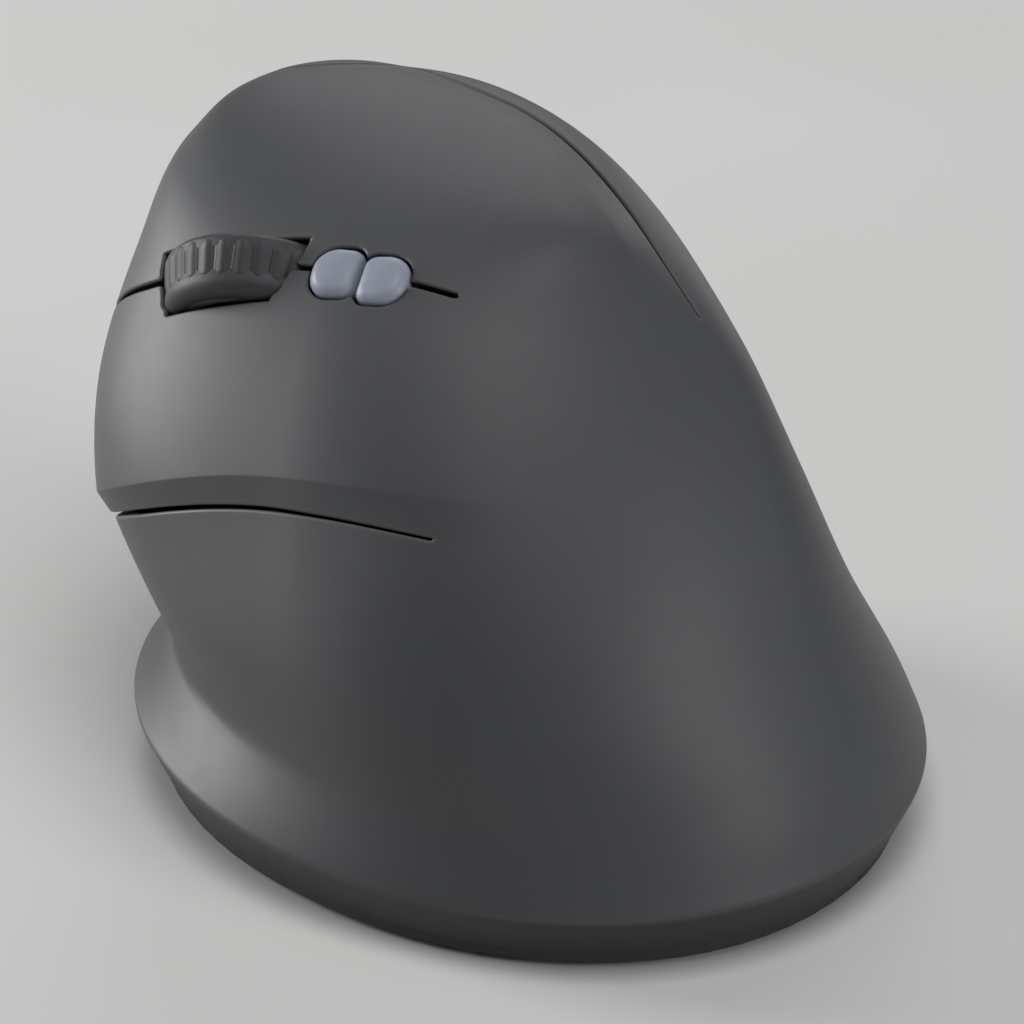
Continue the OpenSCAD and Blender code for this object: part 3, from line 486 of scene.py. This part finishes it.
GUIDES = ((crease_side, (-CREASE_SOFT, 0, CREASE_SOFT)), (bevel_side, (-BEVEL_SOFT, 0, BEVEL_SOFT)),
          (flex_side, (0,)), (slot_side, (0,)), (gap_side, (0,)), (tip_side, (0,)), (seam_side, (0,)))
OVERRUN, TOUCH, FLATTEST = 0.03, 0.008, 0.02


class Moulding:
    """The moulded body, trimmed to its borders with rolled edges, and shared out to the pieces."""

    def __init__(self, borders, guides):
        mesh = surface_grid()
        for side, levels in guides:
            for level in levels:
                mesh = split(mesh, lambda v, a: side(surface(v, a)), level)
        for share in EDGE_SHARES:
            mesh = split(mesh, lambda v, a: edge_reading(borders, v, a), EDGE * share)
        reach = edge_reading(borders, mesh[0], mesh[1])[mesh[2]]
        inside = (reach.min(1) > -OVERRUN) & (reach.max(1) > TOUCH) & (reach.mean(1) > 0)
        v, a, self.tris = kept(mesh, inside)
        self.reach, self.way = edge_reading(borders, v, a, lean=True)
        self.place, self.normal = surface(v, a), normals(v, a)
        d = np.clip(EDGE - self.reach, 0, EDGE)
        upright = np.sqrt(np.maximum(EDGE ** 2 - d ** 2, 0))
        self.outer = self.place - self.normal * (EDGE - upright)[:, None]
        self.shade = unit(self.normal * np.maximum(upright, FLATTEST)[:, None] + self.way * d[:, None])
        draft = DRAFT * (1 - smooth(0, DRAFT_FADE, self.reach))
        self.inner = self.place - WALL * self.normal - self.way * draft[:, None]

    def middles(self):
        return self.place[self.tris].mean(1)

    def piece(self, name, keep, material):
        """A closed shell from the kept triangles, with its edges marked for wear."""
        used, tris = np.unique(self.tris[keep], return_inverse=True)
        tris = tris.reshape(-1, 3)
        n = len(used)
        outer, inner = self.outer[used], self.inner[used]
        edges = np.concatenate([tris[:, [0, 1]], tris[:, [1, 2]], tris[:, [2, 0]]])
        codes, reverse = edges[:, 0] * n + edges[:, 1], edges[:, 1] * n + edges[:, 0]
        rim = edges[~np.isin(codes, reverse)]
        points = np.concatenate([outer, inner])
        walls = np.stack([rim[:, 1], rim[:, 0], rim[:, 0] + n, rim[:, 1] + n], 1)
        corner = points[walls[:, 0]]
        flat = unit(np.cross(points[walls[:, 1]] - corner, points[walls[:, 3]] - corner))
        shade = np.concatenate([self.shade[used][tris].reshape(-1, 3),
                                -self.normal[used][tris[:, ::-1]].reshape(-1, 3),
                                np.repeat(flat, 4, axis=0)])
        faces = tris.tolist() + (tris[:, ::-1] + n).tolist() + walls.tolist()
        obj = solid(name, points, faces, material, shade)
        wear = np.concatenate([np.exp(-np.maximum(self.reach[used], 0) / WEAR_REACH), np.zeros(n)])
        layer = obj.data.attributes.new("edge_wear", "FLOAT", "POINT")
        layer.data.foreach_set("value", wear)
        return obj


def solid(name, points, faces, material, shade=None):
    """An object at the origin from points in millimetres."""
    mesh = bpy.data.meshes.new(name)
    mesh.from_pydata((np.asarray(points) * MM).tolist(), [], faces)
    mesh.materials.append(material)
    mesh.polygons.foreach_set("use_smooth", [True] * len(mesh.polygons))
    if shade is not None:
        mesh.normals_split_custom_set(shade.tolist())
    mesh.update()
    obj = bpy.data.objects.new(name, mesh)
    bpy.context.scene.collection.objects.link(obj)
    return obj


# Materials, with colours given as they are seen, 0 to 255
def linear(colour):
    return [((c / 255 + 0.055) / 1.055) ** 2.4 if c > 10 else c / 255 / 12.92 for c in colour] + [1]


MIX_ONE, MIX_TWO, MIX_RESULT = 6, 7, 2


class Finish:
    """A procedural material on Object coordinates."""

    def __init__(self, name, roughness=0.5, metallic=0.0, specular=0.4):
        self.material = bpy.data.materials.new(name)
        self.material.use_nodes = True
        self.tree = self.material.node_tree
        self.shader = self.tree.nodes["Principled BSDF"]
        self.shader.inputs["Roughness"].default_value = roughness
        self.shader.inputs["Metallic"].default_value = metallic
        self.shader.inputs["Specular IOR Level"].default_value = specular
        self.where = self.add("ShaderNodeTexCoord").outputs["Object"]
        self.heights = None

    def add(self, kind, **values):
        node = self.tree.nodes.new(kind)
        for key, value in values.items():
            setattr(node, key, value)
        return node

    def link(self, a, b):
        self.tree.links.new(a, b)

    def noise(self, size_mm, detail=2.0, rough=0.5, stretch=None):
        node = self.add("ShaderNodeTexNoise")
        node.inputs["Scale"].default_value = 1 / (size_mm * MM)
        node.inputs["Detail"].default_value = detail
        node.inputs["Roughness"].default_value = rough
        source = self.where
        if stretch:
            turn = self.add("ShaderNodeMapping")
            turn.inputs["Scale"].default_value = stretch
            self.link(source, turn.inputs["Vector"])
            source = turn.outputs["Vector"]
        self.link(source, node.inputs["Vector"])
        return node.outputs["Fac"]

    def ramp(self, source, low, high, start=0.3, end=0.7):
        node = self.add("ShaderNodeMapRange")
        for key, value in (("From Min", start), ("From Max", end), ("To Min", low), ("To Max", high)):
            node.inputs[key].default_value = value
        self.link(source, node.inputs["Value"])
        return node.outputs["Result"]

    def mix(self, share, one, two):
        node = self.add("ShaderNodeMix", data_type="RGBA")
        self.link(share, node.inputs["Factor"])
        for socket, colour in ((node.inputs[MIX_ONE], one), (node.inputs[MIX_TWO], two)):
            if isinstance(colour, bpy.types.NodeSocket):
                self.link(colour, socket)
            else:
                socket.default_value = colour
        return node.outputs[MIX_RESULT]

    def level(self, low_mm, high_mm):
        """0 below one height, 1 above another."""
        parts = self.add("ShaderNodeSeparateXYZ")
        self.link(self.where, parts.inputs["Vector"])
        return self.ramp(parts.outputs["Z"], 0, 1, low_mm * MM, high_mm * MM)

    def attribute(self, name):
        return self.add("ShaderNodeAttribute", attribute_name=name).outputs["Fac"]

    def colour(self, socket):
        self.link(socket, self.shader.inputs["Base Color"])

    def roughness(self, socket):
        self.link(socket, self.shader.inputs["Roughness"])

    def bump(self, height, depth_mm):
        node = self.add("ShaderNodeBump")
        node.inputs["Strength"].default_value = 1.0
        node.inputs["Distance"].default_value = depth_mm * MM
        self.link(height, node.inputs["Height"])
        if self.heights is not None:
            self.link(self.heights, node.inputs["Normal"])
        self.heights = node.outputs["Normal"]
        self.link(self.heights, self.shader.inputs["Normal"])


def shaded(colour, share):
    return [c * share for c in linear(colour)[:3]] + [1]


def moulded(name, colour, grain_mm=0.22, grain_depth=0.004, rough=(0.49, 0.51), worn=None, skirt_shade=None):
    """Moulded plastic: fine grain, faint clouding, edges polished by handling, and optionally painted
    shade that darkens the band below the lip.
    """
    f = Finish(name)
    base = f.mix(f.ramp(f.noise(14, 3), 0, 1), shaded(colour, 0.94), linear(colour))
    base = f.mix(f.ramp(f.noise(grain_mm * 1.6, 1), 0, 0.22, 0.55, 0.8), base, shaded(colour, 1.25))
    if worn:
        base = f.mix(f.ramp(f.attribute("edge_wear"), 0, 0.6, 0.25, 1.0), base, linear(worn))
    # Painted shade: below the lip the colour turns darker, standing in for the shade that this
    # downward-facing band falls in
    if skirt_shade:
        base = f.mix(f.level(LIP - SHADE_TOP, LIP - SHADE_TOP + SHADE_BLUR), linear(skirt_shade), base)
    f.colour(base)
    f.roughness(f.ramp(f.noise(2.5, 4), rough[0], rough[1]))
    f.bump(f.noise(grain_mm, 2, 0.6), grain_depth)
    return f.material


# The covers' darker band below the lip is painted shade
cover_finish = moulded("soft_touch_cover", (70, 71, 73), worn=(84, 85, 87), skirt_shade=(44, 45, 46))
button_finish = moulded("soft_touch_button", (71, 72, 74), worn=(85, 86, 88))

body = Moulding(BORDERS, GUIDES)
middle = body.middles()
thumb_side = seam_side(middle) > 0
tongues = (flex_side(middle) < 0) & (gap_side(middle) > 0) & (tip_side(middle) > 0) & ~thumb_side
uphill = slot_side(middle) > 0
finger_shell = body.piece("finger_shell", ~tongues & ~thumb_side, cover_finish)
thumb_shell = body.piece("thumb_shell", thumb_side, cover_finish)
upper_tongue = body.piece("upper_tongue", tongues & uphill, button_finish)
lower_tongue = body.piece("lower_tongue", tongues & ~uphill, button_finish)

for piece, node in ((finger_shell, "finger_cover"), (thumb_shell, "thumb_cover")):
    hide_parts(node)
    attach(piece, "mouse_body")
# The buttons' tongues stay where they are built, in place of the hidden solid buttons
for piece, node, carrier in ((upper_tongue, "upper_button", "upper_button_tongue"),
                             (lower_tongue, "lower_button", "lower_button_tongue")):
    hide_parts(node)
    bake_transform(piece)


def ring_faces(rings):
    """Faces of a skin over equal rings of points."""
    n = len(rings[0])
    return [(i * n + k, i * n + (k + 1) % n, (i + 1) * n + (k + 1) % n, (i + 1) * n + k)
            for i in range(len(rings) - 1) for k in range(n)]


def circles(turns, profile):
    """Rings of points round the z axis, from pairs of radius and height."""
    return [np.column_stack([r * np.cos(turns), r * np.sin(turns), np.full(len(turns), z)])
            for r, z in profile]


# Keys: pillow-shaped caps
CORNER_STEPS, ROLL_ANGLES, DOME_RINGS = 14, (0, 12, 25, 38, 52, 66, 80, 90), 7


def key_outline(size, corners):
    points = []
    for quarter in range(4):
        right = quarter in (0, 3)
        r = corners[0] if right else corners[1]
        for k in range(CORNER_STEPS + 1):
            angle = math.pi / 2 * (quarter + k / CORNER_STEPS)
            points.append(((1 if right else -1) * (size[0] / 2 - r) + r * math.cos(angle),
                           (1 if quarter < 2 else -1) * (size[1] / 2 - r) + r * math.sin(angle)))
    return np.array(points)


def key_cap(name, key, material):
    """A cap with straight walls, a rolled edge and a shallow dome."""
    outline = key_outline(key.size, key.corners)
    n = len(outline)
    half = min(key.size) / 2
    shares = [1 - key.roll * (1 - math.cos(math.radians(q))) / half for q in ROLL_ANGLES]
    shares += list(np.linspace(shares[-1], 0.0, DOME_RINGS)[1:-1])
    rings = [np.column_stack([outline, np.full(n, -KEY_SKIRT)])]
    for s in shares:
        xy = outline * s
        deep = np.clip(-rounded(xy[:, 0], xy[:, 1], key.size, key.corners), 0, key.roll)
        roll = key.roll - np.sqrt(np.maximum(key.roll ** 2 - (key.roll - deep) ** 2, 0))
        rings.append(np.column_stack([xy, KEY_RISE - (xy ** 2).sum(1) / (2 * key.dome) - roll]))
    local = np.concatenate(rings + [[[0, 0, KEY_RISE], [0, 0, -KEY_SKIRT]]])
    points = key.at + local[:, :1] * key.x + local[:, 1:2] * key.y + local[:, 2:] * key.out
    faces = ring_faces(rings)
    last = (len(rings) - 1) * n
    for k in range(n):
        m = (k + 1) % n
        faces.append((last + k, last + m, len(points) - 2))
        faces.append((m, k, len(points) - 1))
    return solid(name, points, faces, material)


key_finish = moulded("pale_key", (142, 148, 163), 0.3, 0.003, (0.40, 0.44))
thumb_key_finish = moulded("thumb_key", (52, 53, 55), 0.25, 0.004, (0.36, 0.40))
for name, key, node, carrier, material in (
        ("front_pillow_key", front_key, "front_key", "front_key_cap", key_finish),
        ("rear_pillow_key", rear_key, "rear_key", "rear_key_cap", key_finish),
        ("forward_thumb_key", forward_key, "forward_key", "forward_key_cap", thumb_key_finish),
        ("back_thumb_key", back_key, "back_key", "back_key_cap", thumb_key_finish)):
    cap = key_cap(name, key, material)
    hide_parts(node)
    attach(cap, carrier)


# Patterns: copies of a piece set out by Geometry Nodes and made one mesh
class Pattern:
    """A node tree that sets copies on points, with named inputs for its sizes."""

    def __init__(self, name, **sizes):
        self.tree = bpy.data.node_groups.new(name, "GeometryNodeTree")
        sockets = {"Geometry": "NodeSocketGeometry", **sizes, "Copy": "NodeSocketObject",
                   "Finish": "NodeSocketMaterial"}
        for label, kind in sockets.items():
            self.tree.interface.new_socket(label, in_out="INPUT", socket_type=kind)
        self.tree.interface.new_socket("Geometry", in_out="OUTPUT", socket_type="NodeSocketGeometry")
        self.given = self.add("NodeGroupInput").outputs

    def add(self, kind, links=(), **values):
        node = self.tree.nodes.new(kind)
        for key, value in values.items():
            setattr(node, key, value)
        for socket, source in links:
            self.tree.links.new(source, node.inputs[socket])
        return node

    def close(self, points, turn=None):
        copy = self.add("GeometryNodeObjectInfo", [("Object", self.given["Copy"])])
        links = [("Points", points), ("Instance", copy.outputs["Geometry"])]
        if turn:
            links.append(("Rotation", turn))
        spread = self.add("GeometryNodeInstanceOnPoints", links)
        whole = self.add("GeometryNodeRealizeInstances", [("Geometry", spread.outputs["Instances"])])
        done = self.add("GeometryNodeSetMaterial", [("Geometry", whole.outputs["Geometry"]),
                                                    ("Material", self.given["Finish"])])
        self.add("NodeGroupOutput", [("Geometry", done.outputs["Geometry"])])

    def piece(self, name, copy, finish, points=(), **sizes):
        """The pattern as a plain mesh at the origin; the copy is used up."""
        mesh = bpy.data.meshes.new(name)
        mesh.from_pydata([tuple(np.asarray(at) * MM) for at in points], [], [])
        obj = bpy.data.objects.new(name, mesh)
        bpy.context.scene.collection.objects.link(obj)
        modifier = obj.modifiers.new("pattern", "NODES")
        modifier.node_group = self.tree
        values = {**sizes, "Copy": copy, "Finish": finish}
        for item in self.tree.interface.items_tree:
            if item.in_out == "INPUT" and item.name in values:
                modifier[item.identifier] = values[item.name]
        graph = bpy.context.evaluated_depsgraph_get()
        plain = bpy.data.meshes.new_from_object(obj.evaluated_get(graph))
        obj.modifiers.clear()
        obj.data = plain
        bpy.data.objects.remove(copy)
        return obj


ring = Pattern("ring_of_copies", Count="NodeSocketInt", Radius="NodeSocketFloat")
circle = ring.add("GeometryNodeMeshCircle", [("Vertices", ring.given["Count"]),
                                             ("Radius", ring.given["Radius"])])
position = ring.add("GeometryNodeInputPosition")
spot = ring.add("ShaderNodeSeparateXYZ", [("Vector", position.outputs["Position"])])
angle = ring.add("ShaderNodeMath", [(0, spot.outputs["Y"]), (1, spot.outputs["X"])], operation="ARCTAN2")
turn = ring.add("ShaderNodeCombineXYZ", [("Z", angle.outputs["Value"])])
ring.close(circle.outputs["Mesh"], turn.outputs["Vector"])


# The wheel: a rubber tyre with a shallow channel, and soft ribs across the channel
TYRE_IN, TYRE_STEPS, TREAD_HALF, TREAD_ROWS = 8.92, 160, 1.7, 15
CHANNEL_AT, CHANNEL, CHANNEL_SOFT, CHANNEL_DEPTH = 0.5, 1.5, 0.8, 0.22
RIB_COUNT, RIB_SEAT, RIB_FOOT, RIB_SINK, RIB_SHY = 32, 11.0, 10.4, 0.05, 0.03
RIB_STEPS, RIB_ROWS = 11, 9
wheel_axes = np.array([BACK, -OUT, UP])


def tyre():
    heights = SHOULDER_AT + SHOULDER * np.sin(np.radians(np.arange(0, 91, 7.5)))
    heights = np.concatenate([-heights[::-1], np.linspace(-TREAD_HALF, TREAD_HALF, TREAD_ROWS), heights])
    away = np.abs(heights - CHANNEL_AT)
    radii = tread(heights) - CHANNEL_DEPTH * smooth(CHANNEL + CHANNEL_SOFT, CHANNEL, away)
    radii = np.concatenate([[TYRE_IN], radii, [TYRE_IN]])
    heights = np.concatenate([[-HALF_WHEEL], heights, [HALF_WHEEL]])
    rounds = circles(np.arange(TYRE_STEPS) * 2 * math.pi / TYRE_STEPS, zip(radii, heights))
    count = TYRE_STEPS * len(rounds)
    faces = [tuple(i % count for i in face) for face in ring_faces(rounds + rounds[:1])]
    return solid("ribbed_tyre", WHEEL + np.concatenate(rounds) @ wheel_axes, faces, rubber_finish)


def bar(name, rings, material):
    """A solid through a row of rings, closed at both ends."""
    n, count = len(rings[0]), len(rings) * len(rings[0])
    faces = ring_faces(rings) + [tuple(range(n))[::-1], tuple(range(count - n, count))]
    return solid(name, np.concatenate(rings), faces, material)


def rib():
    """One wave of the tread, which follows its taper."""
    half_pitch = math.pi * RIB_SEAT / RIB_COUNT
    across = np.linspace(-1, 1, RIB_STEPS)
    rings = []
    for h in CHANNEL_AT + np.linspace(-CHANNEL - CHANNEL_SOFT, CHANNEL + CHANNEL_SOFT, RIB_ROWS):
        low, high = tread(h) - CHANNEL_DEPTH - RIB_SINK, tread(h) - RIB_SHY
        radius = low + (high - low) * (1 + np.cos(math.pi * across)) / 2
        top = np.column_stack([radius - RIB_SEAT, across * half_pitch, np.full(RIB_STEPS, h)])
        foot = top[[-1, 0]].copy()
        foot[:, 0] = RIB_FOOT - RIB_SEAT
        rings.append(np.concatenate([top, foot]))
    return bar("rib", rings, rubber_finish)


rubber_finish = moulded("tyre_rubber", (56, 57, 59), 0.16, 0.005, (0.52, 0.58))
rubber_tyre = tyre()
ribs = ring.piece("tyre_ribs", rib(), rubber_finish, Count=RIB_COUNT, Radius=RIB_SEAT * MM)
place = Matrix(wheel_axes.T.tolist()).to_4x4()
place.translation = WHEEL * MM
ribs.data.transform(place)
for piece in (rubber_tyre, ribs):
    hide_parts("wheel_tyre")
    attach(piece, "scroll_wheel")


# Finishes of the pieces that keep their solids
def fibreglass(name, colour):
    """Lacquered circuit board: woven glass under the lacquer, paler tracks."""
    f = Finish(name, roughness=0.35)
    weave = f.ramp(f.noise(0.5, 1, stretch=(4, 1, 1)), 0, 1)
    base = f.mix(weave, shaded(colour, 0.85), linear(colour))
    tracks = f.ramp(f.noise(1.8, 0, stretch=(1, 1, 0.2)), 0, 0.6, 0.56, 0.6)
    f.colour(f.mix(tracks, base, shaded(colour, 1.6)))
    f.bump(f.noise(0.4, 1), 0.01)
    return f.material


def plated(name, colour):
    """Bright metal with a fine drawn grain."""
    f = Finish(name, metallic=1.0)
    f.colour(f.mix(f.ramp(f.noise(6, 2), 0, 1), shaded(colour, 0.9), linear(colour)))
    f.roughness(f.ramp(f.noise(0.3, 3, stretch=(1, 12, 12)), 0.25, 0.4))
    f.bump(f.noise(0.15, 1, stretch=(1, 10, 10)), 0.002)
    return f.material


def clear_plastic(name):
    """Smoked clear plastic with faint flow marks."""
    f = Finish(name)
    f.shader.inputs["Transmission Weight"].default_value = 0.55
    f.colour(f.mix(f.ramp(f.noise(3, 2), 0, 1), linear((70, 36, 38)), linear((84, 44, 46))))
    f.roughness(f.ramp(f.noise(1.2, 2), 0.06, 0.12))
    return f.material


JACKET_END, JACKET_BLUR = 8.0, 0.4


def wrapped_cell(name):
    """A cell in a printed jacket: a dark sleeve with a coppery band at one end."""
    f = Finish(name, metallic=0.4)
    parts = f.add("ShaderNodeSeparateXYZ")
    f.link(f.where, parts.inputs["Vector"])
    band = f.ramp(parts.outputs["Y"], 0, 1, JACKET_END * MM, (JACKET_END + JACKET_BLUR) * MM)
    sleeve = f.mix(f.ramp(f.noise(9, 2), 0, 1), linear((44, 46, 50)), linear((52, 54, 58)))
    f.colour(f.mix(band, sleeve, linear((176, 118, 66))))
    f.roughness(f.ramp(f.noise(2, 3), 0.24, 0.34))
    f.bump(f.noise(0.8, 1), 0.004)
    return f.material


black_frame = moulded("black_frame", (46, 47, 49), 0.3, 0.006, (0.45, 0.52))
base_finish = moulded("base_plastic", (50, 51, 53), 0.3, 0.006, (0.45, 0.52))
hub_finish = moulded("hub_plastic", (96, 98, 102), 0.2, 0.003, (0.36, 0.42))
switch_finish = moulded("switch_case", (30, 31, 33), 0.4, 0.003, (0.30, 0.38))
plunger_finish = moulded("switch_plunger", (178, 60, 48), 0.3, 0.003, (0.32, 0.40))
foot_finish = moulded("slippery_foot", (188, 189, 188), 0.2, 0.003, (0.30, 0.38))
board_finish = fibreglass("green_board", (34, 84, 58))
steel_finish = plated("plated_steel", (168, 170, 172))
lens_finish = clear_plastic("clear_lens")
cell_finish = wrapped_cell("wrapped_cell")
KEPT = {
    base_finish: ("base_plate", "battery_door"),
    black_frame: ("switch_frame", "wheel_carrier"),
    hub_finish: ("wheel_hub", "power_slider"),
    switch_finish: ("scroll_encoder", "wheel_switch", "upper_switch", "lower_switch", "key_switches",
                    "thumb_switches", "motion_sensor", "power_switch"),
    plunger_finish: ("upper_plunger", "lower_plunger"),
    foot_finish: ("front_foot", "rear_foot"),
    board_finish: ("button_board", "thumb_board", "main_board"),
    steel_finish: ("battery_contacts",),
    lens_finish: ("sensor_lens",),
    cell_finish: ("battery_cell",)}
for finish, nodes in KEPT.items():
    for node in nodes:
        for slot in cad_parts[node].material_slots:
            slot.material = finish


# Underside: screws with a cross recess, and grip ribs on the battery door
scatter = Pattern("copies_on_points")
scatter.close(scatter.given["Geometry"])
row = Pattern("row_of_copies", Count="NodeSocketInt", Step="NodeSocketVector")
line = row.add("GeometryNodeMeshLine", [("Count", row.given["Count"]), ("Offset", row.given["Step"])],
               mode="OFFSET")
row.close(line.outputs["Mesh"])

HEAD_LOW, HEAD_R, HEAD_H, SHANK_R, SCREW_LENGTH = 0.9, 2.3, 0.9, 1.25, 7.0
RECESS_WIDTH, RECESS_REACH, RECESS_DEPTH, RECESS_SOFT = 0.36, 1.3, 0.5, 0.1
HEAD_RADII, HEAD_DOME, SCREW_STEPS = np.linspace(0.1, HEAD_R - 0.3, 16), 0.02, 48
SCREW_PROFILE = [(HEAD_R - 0.08, 0.12), (HEAD_R, 0.3), (HEAD_R, HEAD_H), (SHANK_R, HEAD_H),
                 (SHANK_R, HEAD_H + SCREW_LENGTH - 0.5), (0.5, HEAD_H + SCREW_LENGTH)]
POSTS = [(-32.07, 14.61), (-31.03, -23.65), (23.39, 27.60), (34.01, -13.38)]
LEGS = [(-17.91, 21.00), (-12.63, 2.11), (0.91, 26.76), (3.35, 12.41)]
DOOR_X, GRIP_Y, GRIP_STEP, GRIP_COUNT = 17.0, -24.0, 1.7, 6
GRIP_SIZE, GRIP_SINK, DOOR_LOW = (9.0, 0.9, 0.32), 0.02, 0.8


def screw():
    """A screw on its head: a domed face with a cross recess, a rounded rim and a plain shank."""
    turns = np.arange(SCREW_STEPS) * 2 * math.pi / SCREW_STEPS
    rounds = circles(turns, [(r, HEAD_DOME * r ** 2 / HEAD_R) for r in HEAD_RADII])
    for points in rounds:
        x, y = np.abs(points[:, 0]), np.abs(points[:, 1])
        cross = smooth(RECESS_WIDTH + RECESS_SOFT, RECESS_WIDTH, np.minimum(x, y))
        cross = cross * smooth(RECESS_REACH + RECESS_SOFT, RECESS_REACH, np.maximum(x, y))
        points[:, 2] += RECESS_DEPTH * cross
    rounds += circles(turns, SCREW_PROFILE)
    count = SCREW_STEPS * len(rounds)
    points = np.concatenate(rounds + [[[0, 0, RECESS_DEPTH], [0, 0, HEAD_H + SCREW_LENGTH]]])
    faces = ring_faces(rounds)
    for k in range(SCREW_STEPS):
        m = (k + 1) % SCREW_STEPS
        faces += [(m, k, count), (count - SCREW_STEPS + k, count - SCREW_STEPS + m, count + 1)]
    return solid("screw", points, faces, steel_finish)


def grip_rib():
    """A low rounded bar that tapers at both ends."""
    length, width, height = GRIP_SIZE
    angles = np.radians(np.arange(0, 181, 20))
    rings = []
    for x in np.linspace(-1, 1, 13):
        share = math.sqrt(max(1 - x ** 4, 0.02))
        rings.append(np.column_stack([np.full(len(angles), x * length / 2),
                                      np.cos(angles) * width / 2 * share,
                                      -np.sin(angles) * height * share]))
    return bar("grip_rib", rings, base_finish)


for name, node, spots in (("cover_screw_set", "cover_screws", POSTS),
                          ("frame_screw_set", "frame_screws", LEGS)):
    screws = scatter.piece(name, screw(), steel_finish, [(x, y, HEAD_LOW) for x, y in spots])
    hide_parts(node)
    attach(screws, "mouse_body")
grip = row.piece("door_grip", grip_rib(), base_finish, Count=GRIP_COUNT,
                 Step=(0.0, GRIP_STEP * MM, 0.0))
grip.data.transform(Matrix.Translation((DOOR_X * MM, GRIP_Y * MM, (DOOR_LOW + GRIP_SINK) * MM)))
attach(grip, "door_panel")

# Floor, camera and lamps, in metres
FLOOR_HALF = 4
CAMERA_AWAY, LENS_MM, SENSOR_MM = 0.9, 278.4, 36
SKY, SKY_STRENGTH = (0.8, 0.82, 0.85, 1), 0.1
bpy.context.scene.view_settings.view_transform = "Standard"
floor_finish = Finish("pale_floor", roughness=0.9, specular=0.1)
floor_finish.colour(floor_finish.mix(floor_finish.ramp(floor_finish.noise(120, 2), 0, 1),
                                     linear((206, 206, 204)), linear((211, 211, 210))))
floor_mesh = bpy.data.meshes.new("studio_floor")
CORNERS = ((-1, -1), (1, -1), (1, 1), (-1, 1))
floor_mesh.from_pydata([(x * FLOOR_HALF, y * FLOOR_HALF, 0) for x, y in CORNERS], [], [(0, 1, 2, 3)])
floor_mesh.materials.append(floor_finish.material)
floor = bpy.data.objects.new("studio_floor", floor_mesh)
bpy.context.scene.collection.objects.link(floor)

TARGET = Vector((-0.001, -0.0017, 0.0335))
SIGHT = Vector((-0.6124, -0.6124, 0.5)).normalized()
camera_data = bpy.data.cameras.new("camera")
camera_data.sensor_width = SENSOR_MM
camera_data.lens = LENS_MM
camera = bpy.data.objects.new("camera", camera_data)
bpy.context.scene.collection.objects.link(camera)
camera.location = TARGET + CAMERA_AWAY * SIGHT
camera.rotation_euler = SIGHT.to_track_quat("Z", "Y").to_euler()
bpy.context.scene.camera = camera


def lamp(name, place, size, power):
    """A soft box that faces the mouse."""
    data = bpy.data.lights.new(name, "AREA")
    data.shape = "RECTANGLE"
    data.size, data.size_y = size
    data.energy = power
    obj = bpy.data.objects.new(name, data)
    obj.location = place
    obj.rotation_euler = (Vector(place) - TARGET).to_track_quat("Z", "Y").to_euler()
    bpy.context.scene.collection.objects.link(obj)


lamp("left_softbox", (-0.36, 0.85, 0.23), (0.40, 0.45), 8.4)
lamp("top_softbox", (-0.12, -0.20, 1.00), (0.60, 0.60), 4.6)
lamp("right_softbox", (0.85, 0.20, 0.25), (0.35, 0.60), 1.2)
lamp("back_softbox", (0.60, 0.55, 0.50), (0.40, 0.50), 1.4)
lamp("rear_softbox", (0.18, -0.95, 0.42), (0.40, 0.40), 3.6)
world = bpy.data.worlds.new("studio")
world.use_nodes = True
sky = world.node_tree.nodes["Background"]
sky.inputs["Color"].default_value = SKY
sky.inputs["Strength"].default_value = SKY_STRENGTH
bpy.context.scene.world = world
